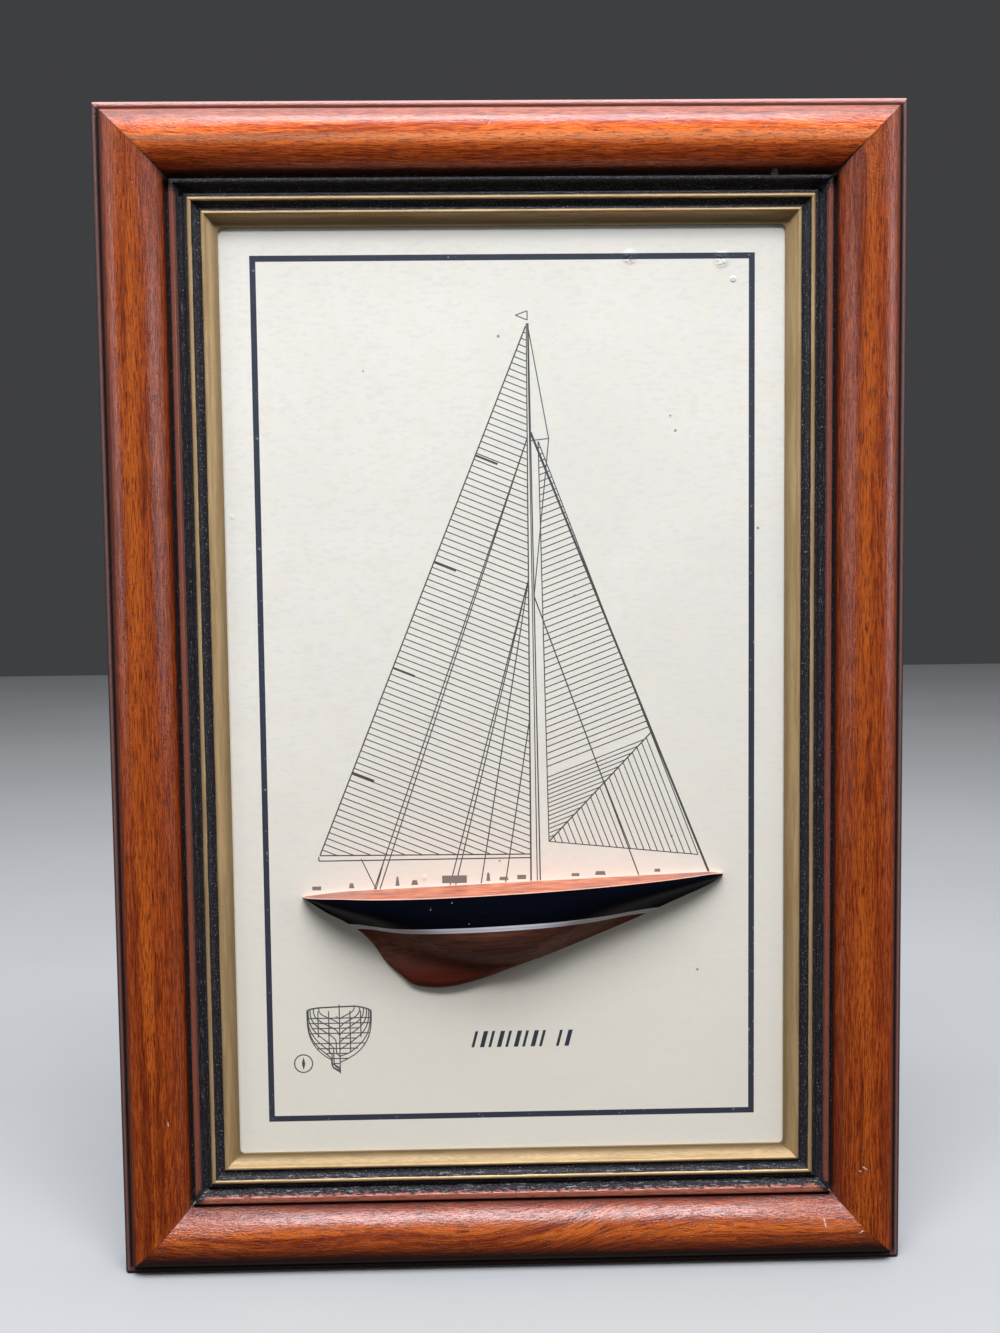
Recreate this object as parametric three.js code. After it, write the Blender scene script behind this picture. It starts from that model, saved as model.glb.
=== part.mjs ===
// A framed half hull: a carved half model of a yacht on a printed board, in a frame of
// four mitred rails. Units are millimetres. The face looks along -Y, up is +Z, the wall is
// the plane y = 0, and the origin is the middle of the top rail's flat back.

import * as THREE from "three";

// Frame, overall
const frameWidth = 300;
const frameHeight = 441.4;
const mitreGap = 0.3;

// Board and the rebate that takes it
const boardThickness = 6;
const boardRecess = 3;
const boardSideClearance = 0.5;
const boardFaceClearance = 0.3;
const rebateOverlap = 6;

// Moulding, from the outer side inwards. A top or a spring is a height above the board's
// face, and a depth or a rise is measured from the member beside it.
const edgeBeadWidth = 1.8;
const edgeBeadTop = 8;
const edgeGrooveWidth = 1.2;
const edgeGrooveDepth = 1.1;
const torusWidth = 22;
const torusSpring = 6.8;
const torusRise = 8.4;
const innerGrooveWidth = 2.4;
const innerGrooveDepth = 1.2;
const filletWidth = 1.7;
const filletTop = 7.4;
const filletRounding = 0.5;
const filletSlopeWidth = 1.1;
const filletSlopeDrop = 3;
const coveWidth = 2.1;
const coveDepth = 0.9;
const stepWidth = 1.3;
const stepRise = 0.5;
const goldBeadWidth = 1.8;
const goldBeadTop = 6;
const goldBeadRise = 1.1;
const fluteWidth = 3.2;
const fluteDepth = 0.9;
const lipWidth = 1.4;
const lipTop = 4.6;
const lipRise = 0.7;
const sightCoveWidth = 4;
const sightCoveHollow = 0.7;
const sightEdgeThickness = 0.6;

// Half hull: its length, depth and half breadth, and where it sits on the board
const hullLength = 162.2;
const hullDepth = 39.6;
const hullHalfBeam = 17.3;
const deckCamber = 1.1;
const hullTipBreadth = 1.2;
const hullTipThickness = 0.4;
const sternTipDrop = 1.2;
const bowTipDrop = 0.9;
const hullCentreRight = 1.3;
const hullDeckBelowCentre = 71.55;
const hullTrimDegrees = 2.23;
const hullGlueGap = 0.3;

// How finely round members are drawn
const beadSteps = 6;
const torusSteps = 20;
const coveSteps = 6;
const hullStations = 44;
const hullSideSteps = 16;
const hullDeckSteps = 4;

// Distances that follow from the sizes above
const boardFace = boardRecess + boardThickness;
const rebateDepth = boardFace + boardFaceClearance;

// A stretch of an ellipse between two angles, in degrees, as points [inward, height].
function arc(centreIn, centreUp, radiusIn, radiusUp, from, to, steps) {
  const points = [];
  for (let i = 0; i <= steps; i += 1) {
    const angle = THREE.MathUtils.degToRad(from + ((to - from) * i) / steps);
    points.push([centreIn + radiusIn * Math.cos(angle), centreUp + radiusUp * Math.sin(angle)]);
  }
  return points;
}

// A hollow between two points: a straight line let down in the middle by its depth.
function hollow(start, end, depth, steps) {
  const points = [];
  for (let i = 0; i <= steps; i += 1) {
    const t = i / steps;
    const sag = 4 * depth * t * (1 - t);
    points.push([
      THREE.MathUtils.lerp(start[0], end[0], t),
      THREE.MathUtils.lerp(start[1], end[1], t) - sag,
    ]);
  }
  return points;
}

// The moulding's section, as points [distance in from the outer side, height above the wall],
// walked from the back of the outer side over the face to the rebate.
function mouldingProfile() {
  const up = (height) => boardFace + height;
  const points = [[0, 0]];
  let at = 0;

  const beadRadius = edgeBeadWidth / 2;
  points.push(...arc(beadRadius, up(edgeBeadTop) - beadRadius, beadRadius, beadRadius, 180, 0, beadSteps));
  at += edgeBeadWidth;
  const edgeGrooveFloor = up(edgeBeadTop) - beadRadius - edgeGrooveDepth;
  points.push([at + edgeGrooveWidth * 0.15, edgeGrooveFloor]);
  at += edgeGrooveWidth;
  points.push([at - edgeGrooveWidth * 0.15, edgeGrooveFloor]);

  const torusRadius = torusWidth / 2;
  points.push(...arc(at + torusRadius, up(torusSpring), torusRadius, torusRise, 180, 0, torusSteps));
  at += torusWidth;
  const innerGrooveFloor = up(torusSpring) - innerGrooveDepth;
  points.push([at + innerGrooveWidth * 0.15, innerGrooveFloor]);
  at += innerGrooveWidth;
  points.push([at - innerGrooveWidth * 0.15, innerGrooveFloor]);

  const filletCorner = up(filletTop) - filletRounding;
  points.push(...arc(at + filletRounding, filletCorner, filletRounding, filletRounding, 180, 90, 3));
  at += filletWidth;
  points.push(...arc(at - filletRounding, filletCorner, filletRounding, filletRounding, 90, 30, 2));
  at += filletSlopeWidth;
  const coveStart = [at, up(filletTop) - filletSlopeDrop];
  at += coveWidth;
  const shoulder = up(goldBeadTop) - goldBeadRise;
  const coveEnd = [at, shoulder - stepRise];
  points.push(...hollow(coveStart, coveEnd, coveDepth, coveSteps));
  points.push([at + stepWidth * 0.1, shoulder]);
  at += stepWidth;
  points.push([at - stepWidth * 0.1, shoulder - stepRise * 0.3]);

  const goldRadius = goldBeadWidth / 2;
  points.push(...arc(at + goldRadius, shoulder, goldRadius, goldBeadRise, 180, 0, beadSteps));
  at += goldBeadWidth;
  const fluteStart = [at + fluteWidth * 0.05, shoulder - fluteDepth * 0.5];
  at += fluteWidth;
  const lipShoulder = up(lipTop) - lipRise;
  const fluteEnd = [at - fluteWidth * 0.05, lipShoulder - fluteDepth * 0.3];
  points.push(...hollow(fluteStart, fluteEnd, fluteDepth * 0.5, coveSteps));

  const lipRadius = lipWidth / 2;
  points.push(...arc(at + lipRadius, lipShoulder, lipRadius, lipRise, 180, 20, beadSteps));
  at += lipWidth;
  const sightCoveStart = [at, lipShoulder];
  at += sightCoveWidth;
  const sightCoveEnd = [at, rebateDepth + sightEdgeThickness];
  points.push(...hollow(sightCoveStart, sightCoveEnd, sightCoveHollow, coveSteps));

  points.push([at, rebateDepth]);
  points.push([at - rebateOverlap, rebateDepth]);
  points.push([at - rebateOverlap, 0]);
  return points;
}

// Width of the moulding's face, from the outer side of the frame to the sight edge.
const mouldingWidth =
  edgeBeadWidth + edgeGrooveWidth + torusWidth + innerGrooveWidth + filletWidth + filletSlopeWidth +
  coveWidth + stepWidth + goldBeadWidth + fluteWidth + lipWidth + sightCoveWidth;
const sightWidth = frameWidth - 2 * mouldingWidth;
const sightHeight = frameHeight - 2 * mouldingWidth;
const boardWidth = sightWidth + 2 * (rebateOverlap - boardSideClearance);
const boardHeight = sightHeight + 2 * (rebateOverlap - boardSideClearance);

// The back of a rail is flat from its outer side to the rebate, and the origin is on the
// middle of that strip of the top rail.
const backStripWidth = mouldingWidth - rebateOverlap;
const centreBelowOrigin = frameHeight / 2 - backStripWidth / 2;

// A rail of one length, cut to a mitre at both ends. It is made along X with its outer
// side up, and its own origin is the middle of its outer side at the wall.
function railGeometry(length) {
  const profile = mouldingProfile();
  const endTrim = mitreGap / Math.SQRT2;
  const count = profile.length;
  const positions = [];
  for (const side of [-1, 1]) {
    for (const [inward, height] of profile) {
      positions.push(side * (length / 2 - inward - endTrim), -height, -inward);
    }
  }
  const faces = [];
  for (let i = 0; i < count; i += 1) {
    const next = (i + 1) % count;
    faces.push(i, next, count + next);
    faces.push(i, count + next, count + i);
  }
  const outline = profile.map(([inward, height]) => new THREE.Vector2(inward, height));
  for (const [a, b, c] of THREE.ShapeUtils.triangulateShape(outline, [])) {
    faces.push(a, b, c);
    faces.push(count + a, count + c, count + b);
  }
  return closedGeometry(positions, faces);
}

// A geometry from shared vertices, turned so that every face looks outwards.
function closedGeometry(positions, faces) {
  let volume = 0;
  const corner = (index) => new THREE.Vector3().fromArray(positions, index * 3);
  for (let i = 0; i < faces.length; i += 3) {
    const [a, b, c] = [corner(faces[i]), corner(faces[i + 1]), corner(faces[i + 2])];
    volume += a.dot(b.cross(c));
  }
  if (volume < 0) {
    for (let i = 0; i < faces.length; i += 3) {
      [faces[i + 1], faces[i + 2]] = [faces[i + 2], faces[i + 1]];
    }
  }
  const geometry = new THREE.BufferGeometry();
  geometry.setAttribute("position", new THREE.Float32BufferAttribute(positions, 3));
  geometry.setIndex(faces);
  geometry.computeVertexNormals();
  return geometry;
}

// The keel line: depth below the deck line as a share of the hull's depth, at shares of its
// length from the stern tip to the bow.
const keelLine = new THREE.SplineCurve([
  new THREE.Vector2(0, 0.04),
  new THREE.Vector2(0.0515, 0.199),
  new THREE.Vector2(0.0935, 0.298),
  new THREE.Vector2(0.1305, 0.406),
  new THREE.Vector2(0.1475, 0.477),
  new THREE.Vector2(0.1625, 0.552),
  new THREE.Vector2(0.188, 0.719),
  new THREE.Vector2(0.2225, 0.86),
  new THREE.Vector2(0.2575, 0.969),
  new THREE.Vector2(0.328, 1),
  new THREE.Vector2(0.407, 0.943),
  new THREE.Vector2(0.499, 0.829),
  new THREE.Vector2(0.6045, 0.696),
  new THREE.Vector2(0.701, 0.555),
  new THREE.Vector2(0.797, 0.41),
  new THREE.Vector2(0.8695, 0.289),
  new THREE.Vector2(0.942, 0.1735),
  new THREE.Vector2(0.978, 0.107),
  new THREE.Vector2(1, 0.045),
]);
const keelSamples = keelLine.getPoints(400);

// Where a share of the length meets the keel line.
function keelDepth(u) {
  let i = 1;
  while (i < keelSamples.length - 1 && keelSamples[i].x < u) {
    i += 1;
  }
  const [before, after] = [keelSamples[i - 1], keelSamples[i]];
  const t = THREE.MathUtils.clamp((u - before.x) / (after.x - before.x), 0, 1);
  return THREE.MathUtils.lerp(before.y, after.y, t);
}

// Outline of the deck in plan: the half breadth as a share of the greatest.
function deckPlan(u) {
  const widest = 0.42;
  if (u < widest) {
    const aft = (widest - u) / widest;
    return Math.pow(Math.max(0, 1 - Math.pow(aft, 2.8)), 0.62);
  }
  const forward = (u - widest) / (1 - widest);
  return Math.pow(Math.max(0, 1 - Math.pow(forward, 2)), 0.63);
}

// Depth of the round body of the hull, before the fin of the keel, as a share of its depth.
function bodyDepth(u) {
  const reach = u < 0.47 ? 0.47 : 0.6;
  const away = Math.abs(u - 0.47) / reach;
  const arch = 0.78 * Math.pow(Math.max(0, 1 - Math.pow(away, 1.9)), 0.9);
  return Math.min(keelDepth(u), Math.max(arch, 0.05));
}

// Half thickness of the fin of the keel, as a share of the greatest half breadth.
function finThickness(u) {
  const along = THREE.MathUtils.clamp((u - 0.17) / 0.45, 0, 1);
  return 0.05 + 0.17 * Math.pow(Math.sin(Math.PI * along), 0.8);
}

// How far the deck's middle line drops below a straight line, near the two tips.
function tipDrop(u) {
  const stern = sternTipDrop * Math.pow(Math.max(0, 1 - u / 0.11), 1.5);
  const bow = bowTipDrop * Math.pow(Math.max(0, (u - 0.955) / 0.045), 2);
  return stern + bow;
}

// How sharp the sections are: full and round in the middle, like a V towards the tips.
function sectionSharpness(u) {
  return 0.9 + 1.7 * Math.min(1, Math.pow((u - 0.47) / 0.3, 2));
}

// Half breadth of the hull at a station, at a share of the way down from deck to keel.
function breadthAt(u, share) {
  const deck = hullTipBreadth + (hullHalfBeam - hullTipBreadth) * deckPlan(u);
  const depth = share * keelDepth(u);
  const round = Math.min(1, depth / bodyDepth(u));
  const body = Math.pow(Math.max(0, 1 - Math.pow(round, 3.2)), sectionSharpness(u));
  const fin = hullHalfBeam * finThickness(u) * Math.sqrt(Math.max(0, 1 - Math.pow(share, 5)));
  return deck * body + Math.min(fin, deck * 0.6) * (1 - body);
}

// The half hull in its own frame: X from the middle towards the bow, Z up from the deck
// line, and the flat back in the plane y = 0.
function halfHullGeometry() {
  const positions = [];
  const faces = [];
  const ring = hullDeckSteps + hullSideSteps + 1;
  for (let i = 0; i <= hullStations; i += 1) {
    const u = (1 - Math.cos((Math.PI * i) / hullStations)) / 2;
    const along = (u - 0.5) * hullLength;
    const crown = -tipDrop(u);
    const halfDeck = breadthAt(u, 0);
    const edge = crown - deckCamber * Math.pow(halfDeck / hullHalfBeam, 2);
    for (let j = 0; j < hullDeckSteps; j += 1) {
      const t = j / hullDeckSteps;
      positions.push(along, -halfDeck * t, THREE.MathUtils.lerp(crown, edge, t * t));
    }
    const keel = Math.min(-hullDepth * keelDepth(u), edge - hullTipThickness);
    for (let j = 0; j <= hullSideSteps; j += 1) {
      const share = Math.sin((Math.PI / 2) * (j / hullSideSteps));
      const breadth = j === hullSideSteps ? 0 : breadthAt(u, share);
      positions.push(along, -breadth, THREE.MathUtils.lerp(edge, keel, share));
    }
  }
  for (let i = 0; i < hullStations; i += 1) {
    for (let j = 0; j < ring; j += 1) {
      const next = (j + 1) % ring;
      const [a, b] = [i * ring + j, i * ring + next];
      const [c, d] = [a + ring, b + ring];
      faces.push(a, c, b);
      faces.push(b, c, d);
    }
  }
  const last = hullStations * ring;
  for (let j = 1; j < ring - 1; j += 1) {
    faces.push(0, j, j + 1);
    faces.push(last, last + j + 1, last + j);
  }
  return closedGeometry(positions, faces);
}

const stainedWood = new THREE.MeshStandardMaterial({ color: 0x9c4420, roughness: 0.32, metalness: 0 });
const boardFinish = new THREE.MeshStandardMaterial({ color: 0xe2ddd1, roughness: 0.6, metalness: 0 });
const hullFinish = new THREE.MeshStandardMaterial({ color: 0x4a1a12, roughness: 0.3, metalness: 0 });

const framedHull = new THREE.Group();
const picture = new THREE.Group();
picture.position.z = -centreBelowOrigin;
framedHull.add(picture);

// Each rail is turned about the line of sight so that its outer side faces out of the frame.
const rails = [
  { name: "top_rail", length: frameWidth, distance: frameHeight / 2, turn: 0 },
  { name: "right_rail", length: frameHeight, distance: frameWidth / 2, turn: 90 },
  { name: "bottom_rail", length: frameWidth, distance: frameHeight / 2, turn: 180 },
  { name: "left_rail", length: frameHeight, distance: frameWidth / 2, turn: 270 },
];
for (const { name, length, distance, turn } of rails) {
  const rail = new THREE.Mesh(railGeometry(length), stainedWood);
  rail.name = name;
  rail.position.z = distance;
  const turned = new THREE.Group();
  turned.rotation.y = THREE.MathUtils.degToRad(turn);
  turned.add(rail);
  picture.add(turned);
}

const board = new THREE.Mesh(new THREE.BoxGeometry(boardWidth, boardThickness, boardHeight), boardFinish);
board.name = "printed_board";
board.position.y = -(boardRecess + boardThickness / 2);
picture.add(board);

const halfHull = new THREE.Mesh(halfHullGeometry(), hullFinish);
halfHull.name = "half_hull";
halfHull.position.set(hullCentreRight, -(boardFace + hullGlueGap), -hullDeckBelowCentre);
halfHull.rotation.y = -THREE.MathUtils.degToRad(hullTrimDegrees);
picture.add(halfHull);

export default framedHull;
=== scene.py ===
# Framed half hull: the finish and the fine shapes of a carved half model of a yacht on its
# printed board, in a stained frame with black flutes and gilt beads.
# Shapes are worked out in millimetres and turned into metres when a mesh is made.
import math

import bpy
import numpy as np
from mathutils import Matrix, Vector, noise
from mathutils.geometry import delaunay_2d_cdt


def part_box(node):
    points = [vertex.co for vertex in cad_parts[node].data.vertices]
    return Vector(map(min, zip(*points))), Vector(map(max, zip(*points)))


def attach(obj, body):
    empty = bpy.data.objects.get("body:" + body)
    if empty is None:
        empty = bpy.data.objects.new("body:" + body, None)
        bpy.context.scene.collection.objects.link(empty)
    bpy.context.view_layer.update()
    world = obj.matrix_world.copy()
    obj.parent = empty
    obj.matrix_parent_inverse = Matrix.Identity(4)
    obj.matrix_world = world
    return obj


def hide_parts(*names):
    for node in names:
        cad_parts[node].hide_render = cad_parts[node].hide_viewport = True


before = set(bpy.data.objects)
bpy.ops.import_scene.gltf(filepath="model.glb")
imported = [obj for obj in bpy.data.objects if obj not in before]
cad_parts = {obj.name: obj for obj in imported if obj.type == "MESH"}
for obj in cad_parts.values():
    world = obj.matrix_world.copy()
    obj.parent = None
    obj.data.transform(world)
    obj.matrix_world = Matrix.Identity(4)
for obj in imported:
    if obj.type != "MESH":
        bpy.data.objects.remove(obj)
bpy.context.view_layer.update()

millimetre = 0.001

# Places that everything else is measured from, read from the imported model
boardLow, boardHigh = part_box("printed_board")
frameWidth = -2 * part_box("left_rail")[0].x / millimetre
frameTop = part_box("top_rail")[1].z / millimetre
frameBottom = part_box("bottom_rail")[0].z / millimetre
frameHeight = frameTop - frameBottom
centreHeight = (frameTop + frameBottom) / 2  # the middle of the frame, measured from the origin
boardFace = -boardLow.y / millimetre  # how far the board's face stands off the wall
print("frame is %.1f by %.1f mm, the board's face stands %.1f mm off the wall"
      % (frameWidth, frameHeight, boardFace))


# Helpers for node trees

def addNode(tree, kind, inputs=None, **settings):
    made = tree.nodes.new(kind)
    for key, value in settings.items():
        setattr(made, key, value)
    for key, value in (inputs or {}).items():
        if isinstance(value, bpy.types.NodeSocket):
            tree.links.new(value, made.inputs[key])
        else:
            made.inputs[key].default_value = value
    return made


def readAttribute(tree, name, output="Vector"):
    return addNode(tree, "ShaderNodeAttribute", attribute_name=name).outputs[output]


def objectPlace(tree):
    return addNode(tree, "ShaderNodeTexCoord").outputs["Object"]


def splitVector(tree, vector):
    return addNode(tree, "ShaderNodeSeparateXYZ", {"Vector": vector}).outputs[0:3]


def readThree(tree, name):
    return splitVector(tree, readAttribute(tree, name))


def stretched(tree, vector, factors):
    made = addNode(tree, "ShaderNodeVectorMath", {0: vector, 1: factors}, operation="MULTIPLY")
    return made.outputs["Vector"]


def brightened(tree, colour, factor):
    made = addNode(tree, "ShaderNodeVectorMath", {0: colour, "Scale": factor}, operation="SCALE")
    return made.outputs["Vector"]


def shaded(colour, *factors):
    # a colour times one factor, or times one for each channel
    return [channel * factor for channel, factor in zip(colour, factors * (3 // len(factors)))]


def maths(tree, operation, first, second=0.0, third=0.0):
    made = addNode(tree, "ShaderNodeMath", {0: first, 1: second, 2: third}, operation=operation)
    return made.outputs[0]


def product(tree, first, second):
    return maths(tree, "MULTIPLY", first, second)


def around(tree, value, middle, factor):
    # how far a value is from a middle one, times a factor
    return product(tree, maths(tree, "SUBTRACT", value, middle), factor)


def noiseOf(tree, vector, scale=1.0, detail=2.0, roughness=0.5, distortion=0.0):
    made = addNode(tree, "ShaderNodeTexNoise", {
        "Vector": vector, "Scale": scale, "Detail": detail, "Roughness": roughness,
        "Distortion": distortion})
    return made.outputs[0]


def figureOf(tree, vector, factors, detail=2.0, roughness=0.5, distortion=0.0):
    # noise that is drawn out along the axis with the smallest factor
    return noiseOf(tree, stretched(tree, vector, factors), 1.0, detail, roughness, distortion)


def cellsOf(tree, vector, scale):
    made = addNode(tree, "ShaderNodeTexVoronoi", {"Vector": vector, "Scale": scale})
    return made.outputs["Distance"]


def ramp(tree, value, low, high, toLow=0.0, toHigh=1.0):
    made = addNode(tree, "ShaderNodeMapRange", {
        "Value": value, "From Min": low, "From Max": high, "To Min": toLow, "To Max": toHigh},
        interpolation_type="SMOOTHSTEP")
    return made.outputs[0]


def blendColour(tree, share, first, second):
    made = addNode(tree, "ShaderNodeMix", data_type="RGBA")
    for socket, value in ((0, share), (6, first), (7, second)):
        if isinstance(value, bpy.types.NodeSocket):
            tree.links.new(value, made.inputs[socket])
        else:
            made.inputs[socket].default_value = (*value, 1) if socket else value
    return made.outputs[2]


def reliefOf(tree, layers):
    # bumps on one another, each with its height, its distance in metres and its strength
    normal = None
    for height, distance, strength in layers:
        inputs = {"Height": height, "Distance": distance, "Strength": strength}
        if normal is not None:
            inputs["Normal"] = normal
        normal = addNode(tree, "ShaderNodeBump", inputs).outputs["Normal"]
    return normal


def newMaterial(name, values):
    material = bpy.data.materials.new(name)
    material.use_nodes = True
    tree = material.node_tree
    shader = tree.nodes["Principled BSDF"]
    for key, value in values.items():
        shader.inputs[key].default_value = value
    return material, tree, shader


def feed(tree, shader, **sockets):
    names = {"colour": "Base Color", "rough": "Roughness", "normal": "Normal",
             "coatNormal": "Coat Normal", "coat": "Coat Weight", "coatRough": "Coat Roughness"}
    for key, socket in sockets.items():
        tree.links.new(socket, shader.inputs[names[key]])


# Helpers for meshes

def makePiece(name, points, faces, materials, faceMaterials=None, attributes=None, sharp=40):
    mesh = bpy.data.meshes.new(name)
    mesh.from_pydata(np.asarray(points, float) * millimetre, [], faces)
    for material in materials:
        mesh.materials.append(material)
    if faceMaterials is not None:
        mesh.polygons.foreach_set("material_index", np.asarray(faceMaterials, np.int32))
    for key, values in (attributes or {}).items():
        values = np.asarray(values, np.float32)
        kind = "FLOAT_VECTOR" if values.ndim == 2 else "FLOAT"
        layer = mesh.attributes.new(key, kind, "POINT")
        layer.data.foreach_set("vector" if values.ndim == 2 else "value", values.ravel())
    mesh.shade_smooth()
    mesh.set_sharp_from_angle(angle=math.radians(sharp))
    mesh.update()
    piece = bpy.data.objects.new(name, mesh)
    bpy.context.scene.collection.objects.link(piece)
    return piece


def outward(points, faces):
    # turns all faces over when they enclose a negative volume
    points = np.asarray(points, float)
    volume = 0.0
    for face in faces:
        a = points[face[0]]
        for i in range(1, len(face) - 1):
            volume += float(np.dot(a, np.cross(points[face[i]], points[face[i + 1]])))
    return [list(reversed(face)) for face in faces] if volume < 0 else faces


def tubeFaces(rings, count):
    # faces between rings of points, then one at each end
    faces = []
    for i in range(rings - 1):
        for j in range(count):
            a, b = i * count + j, i * count + (j + 1) % count
            faces.append([a, b, b + count, a + count])
    last = (rings - 1) * count
    faces.append([j for j in range(count - 1, -1, -1)])
    faces.append([last + j for j in range(count)])
    return faces


def ripple(x, y, z):
    return noise.noise(Vector((x, y, z)))


def lengthAlong(points):
    return np.concatenate([[0], np.cumsum(np.hypot(*np.diff(points, axis=0).T))])


def bell(values, middle, width):
    return np.exp(-((values - middle) / width) ** 2)


# Camera, at the place that the picture was taken from
cameraSettings = {
    "place": (-15.05, -580.04, 54.4),  # to the right, out from the wall, up from the frame's middle
    "turn": (85.7395, 0.6507, -1.2818),
    "lens": 54.0,
    "sensor": 36.0,
}


def makeCamera(settings):
    data = bpy.data.cameras.new("camera")
    data.sensor_fit = "HORIZONTAL"
    data.sensor_width = settings["sensor"]
    data.lens = settings["lens"]
    camera = bpy.data.objects.new("camera", data)
    right, out, up = settings["place"]
    camera.location = Vector((right, out, up + centreHeight)) * millimetre
    camera.rotation_euler = [math.radians(angle) for angle in settings["turn"]]
    bpy.context.scene.collection.objects.link(camera)
    bpy.context.scene.camera = camera


makeCamera(cameraSettings)

# Light, floor and surroundings. Places and sizes are in millimetres, powers in watts.
studio = {
    "lights": {
        "lowKey": {"place": (0, -1762, 2176), "size": (2430, 196), "power": 26.0},
        "key": {"place": (0, -1606, 2294), "size": (2430, 245), "power": 41.0},
        "upperPanel": {"place": (0, -1357, 2449), "size": (2430, 294), "power": 27.0},
        "steepPanel": {"place": (0, -1094, 2577), "size": (2430, 294), "power": 37.0},
        "ceilingFront": {"place": (0, -689, 2403), "size": (2170, 350), "power": 16.0},
        "ceiling": {"place": (0, 78, 1498), "size": (1300, 262), "power": 6.2},
        "rearPanel": {"place": (0, 634, 1359), "size": (1300, 366), "power": 4.4},
        "leftWindow": {"place": (-1450, -676, 420), "size": (280, 1150), "power": 4.9},
        "leftLight": {"place": (-1599, -56, 420), "size": (400, 1150), "power": 2.0},
        "rightWindow": {"place": (1500, -550, 420), "size": (560, 1150), "power": 6.9},
        "rightLight": {"place": (1599, -56, 420), "size": (400, 1150), "power": 2.0},
    },
    "tint": (0.94, 1.0, 1.10),  # of every light
    "surround": (0.049, 0.050, 0.052),
    "floorColour": (0.40, 0.39, 0.375),
    "floorShade": 0.96,  # of the darker patches
    "floorReach": 3000,
    "floorDrop": 0.2,  # how far the floor lies under the frame
}


def makeLight(name, place, size, power, tint):
    data = bpy.data.lights.new(name, "AREA")
    data.shape = "RECTANGLE"
    data.size = size[0] * millimetre
    data.size_y = size[1] * millimetre
    data.energy = power
    data.color = tint
    light = bpy.data.objects.new(name, data)
    light.location = Vector((place[0], place[1], place[2] + centreHeight)) * millimetre
    aim = Vector((0, -boardFace, centreHeight)) * millimetre - light.location
    light.rotation_euler = aim.to_track_quat("-Z", "Y").to_euler()
    bpy.context.scene.collection.objects.link(light)


def makeFloor(settings):
    reach = settings["floorReach"]
    level = frameBottom - settings["floorDrop"]
    corners = [(x * reach, y * reach, level) for x, y in ((-1, -1), (1, -1), (1, 1), (-1, 1))]
    material, tree, shader = newMaterial("pale floor", {"Roughness": 0.7})
    patches = ramp(tree, noiseOf(tree, objectPlace(tree), 3.0, 4), 0.35, 0.65)
    shade = shaded(settings["floorColour"], settings["floorShade"])
    feed(tree, shader, colour=blendColour(tree, patches, shade, settings["floorColour"]))
    floor = makePiece("floor", corners, [(0, 1, 2, 3)], [material])
    floor.visible_diffuse = False  # the floor neither lights the object nor shows in its gloss
    floor.visible_glossy = False


def makeStudio(settings):
    for name, values in settings["lights"].items():
        makeLight(name, **values, tint=settings["tint"])
    world = bpy.data.worlds.new("surround")
    world.use_nodes = True
    background = world.node_tree.nodes["Background"]
    background.inputs["Color"].default_value = (*settings["surround"], 1)
    bpy.context.scene.world = world
    makeFloor(settings)
    bpy.context.scene.view_settings.view_transform = "Standard"


makeStudio(studio)
print("camera, light and floor are in place")

# Moulding of the frame: the members from the outer side inwards, in millimetres. Tops and
# springs are heights above the board's face.
moulding = {
    "edgeBead": {"width": 2.2, "top": 8.0, "radius": 0.9, "shoulder": 2.2},
    "edgeGroove": {"width": 0.7, "depth": 0.25, "inset": 0.1},
    "torus": {"width": 22.9, "spring": 6.8, "rise": 8.3, "lean": 0.19},
    "innerGroove": {"width": 1.5, "depth": 0.7, "inset": 0.25},
    "fillet": {"width": 1.9, "top": 7.4, "rounding": 0.5, "slopeWidth": 0.9, "slopeDrop": 3.0},
    "cove": {"width": 2.1, "depth": 0.9},
    "step": {"width": 1.3, "rise": 0.5, "drop": 0.35},
    "goldBead": {"width": 1.9, "top": 6.0, "rise": 1.1},
    "flute": {"width": 3.1, "depth": 0.9, "inset": 0.1},
    "lip": {"width": 1.4, "top": 4.6, "rise": 0.7},
    "sightCove": {"width": 4.0, "hollow": 0.7},
    "sightEdge": {"thickness": 0.8, "slopeEnd": 0.3, "foot": 0.06},
    "rebateOverlap": 6.0,
    "softening": 2,  # how often the section's corners are rounded off
    "faceStep": 0.3,  # spacing of the section's points
    "alongStep": 1.6,
    "nearMitre": (0, 0.12, 0.25, 0.4, 0.6, 0.8, 1.05, 1.3, 1.6, 2.0, 2.5, 3.1, 3.9, 5.0, 6.3),
    "middleStart": 7.8,  # where the even spacing along a rail starts
    "middleInset": 22,  # how much shorter the middle of the moulding is at each end
    "mitreShare": 0.7,  # from a distance along the rail to one square to the joint
    # corners of the frame seen from the front, and how far in from the outer side they are round
    "outerRounding": {"radius": 0.9, "full": 2.0, "none": 6.0},
    "sightRounding": {"radius": 2.0, "none": 41.0, "full": 44.0},
    "cornerPaint": {"reach": 5.0, "amount": 1.2},  # near a mitre black paint covers the fillet
    "joint": {"backTrim": 0.03, "trim": 0.045, "opening": 0.55, "openAt": 25.5, "openWidth": 4.6},
    "openJoint": (("top_rail", 1), ("right_rail", -1)),  # both ends of the joint that stands open
}

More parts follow.
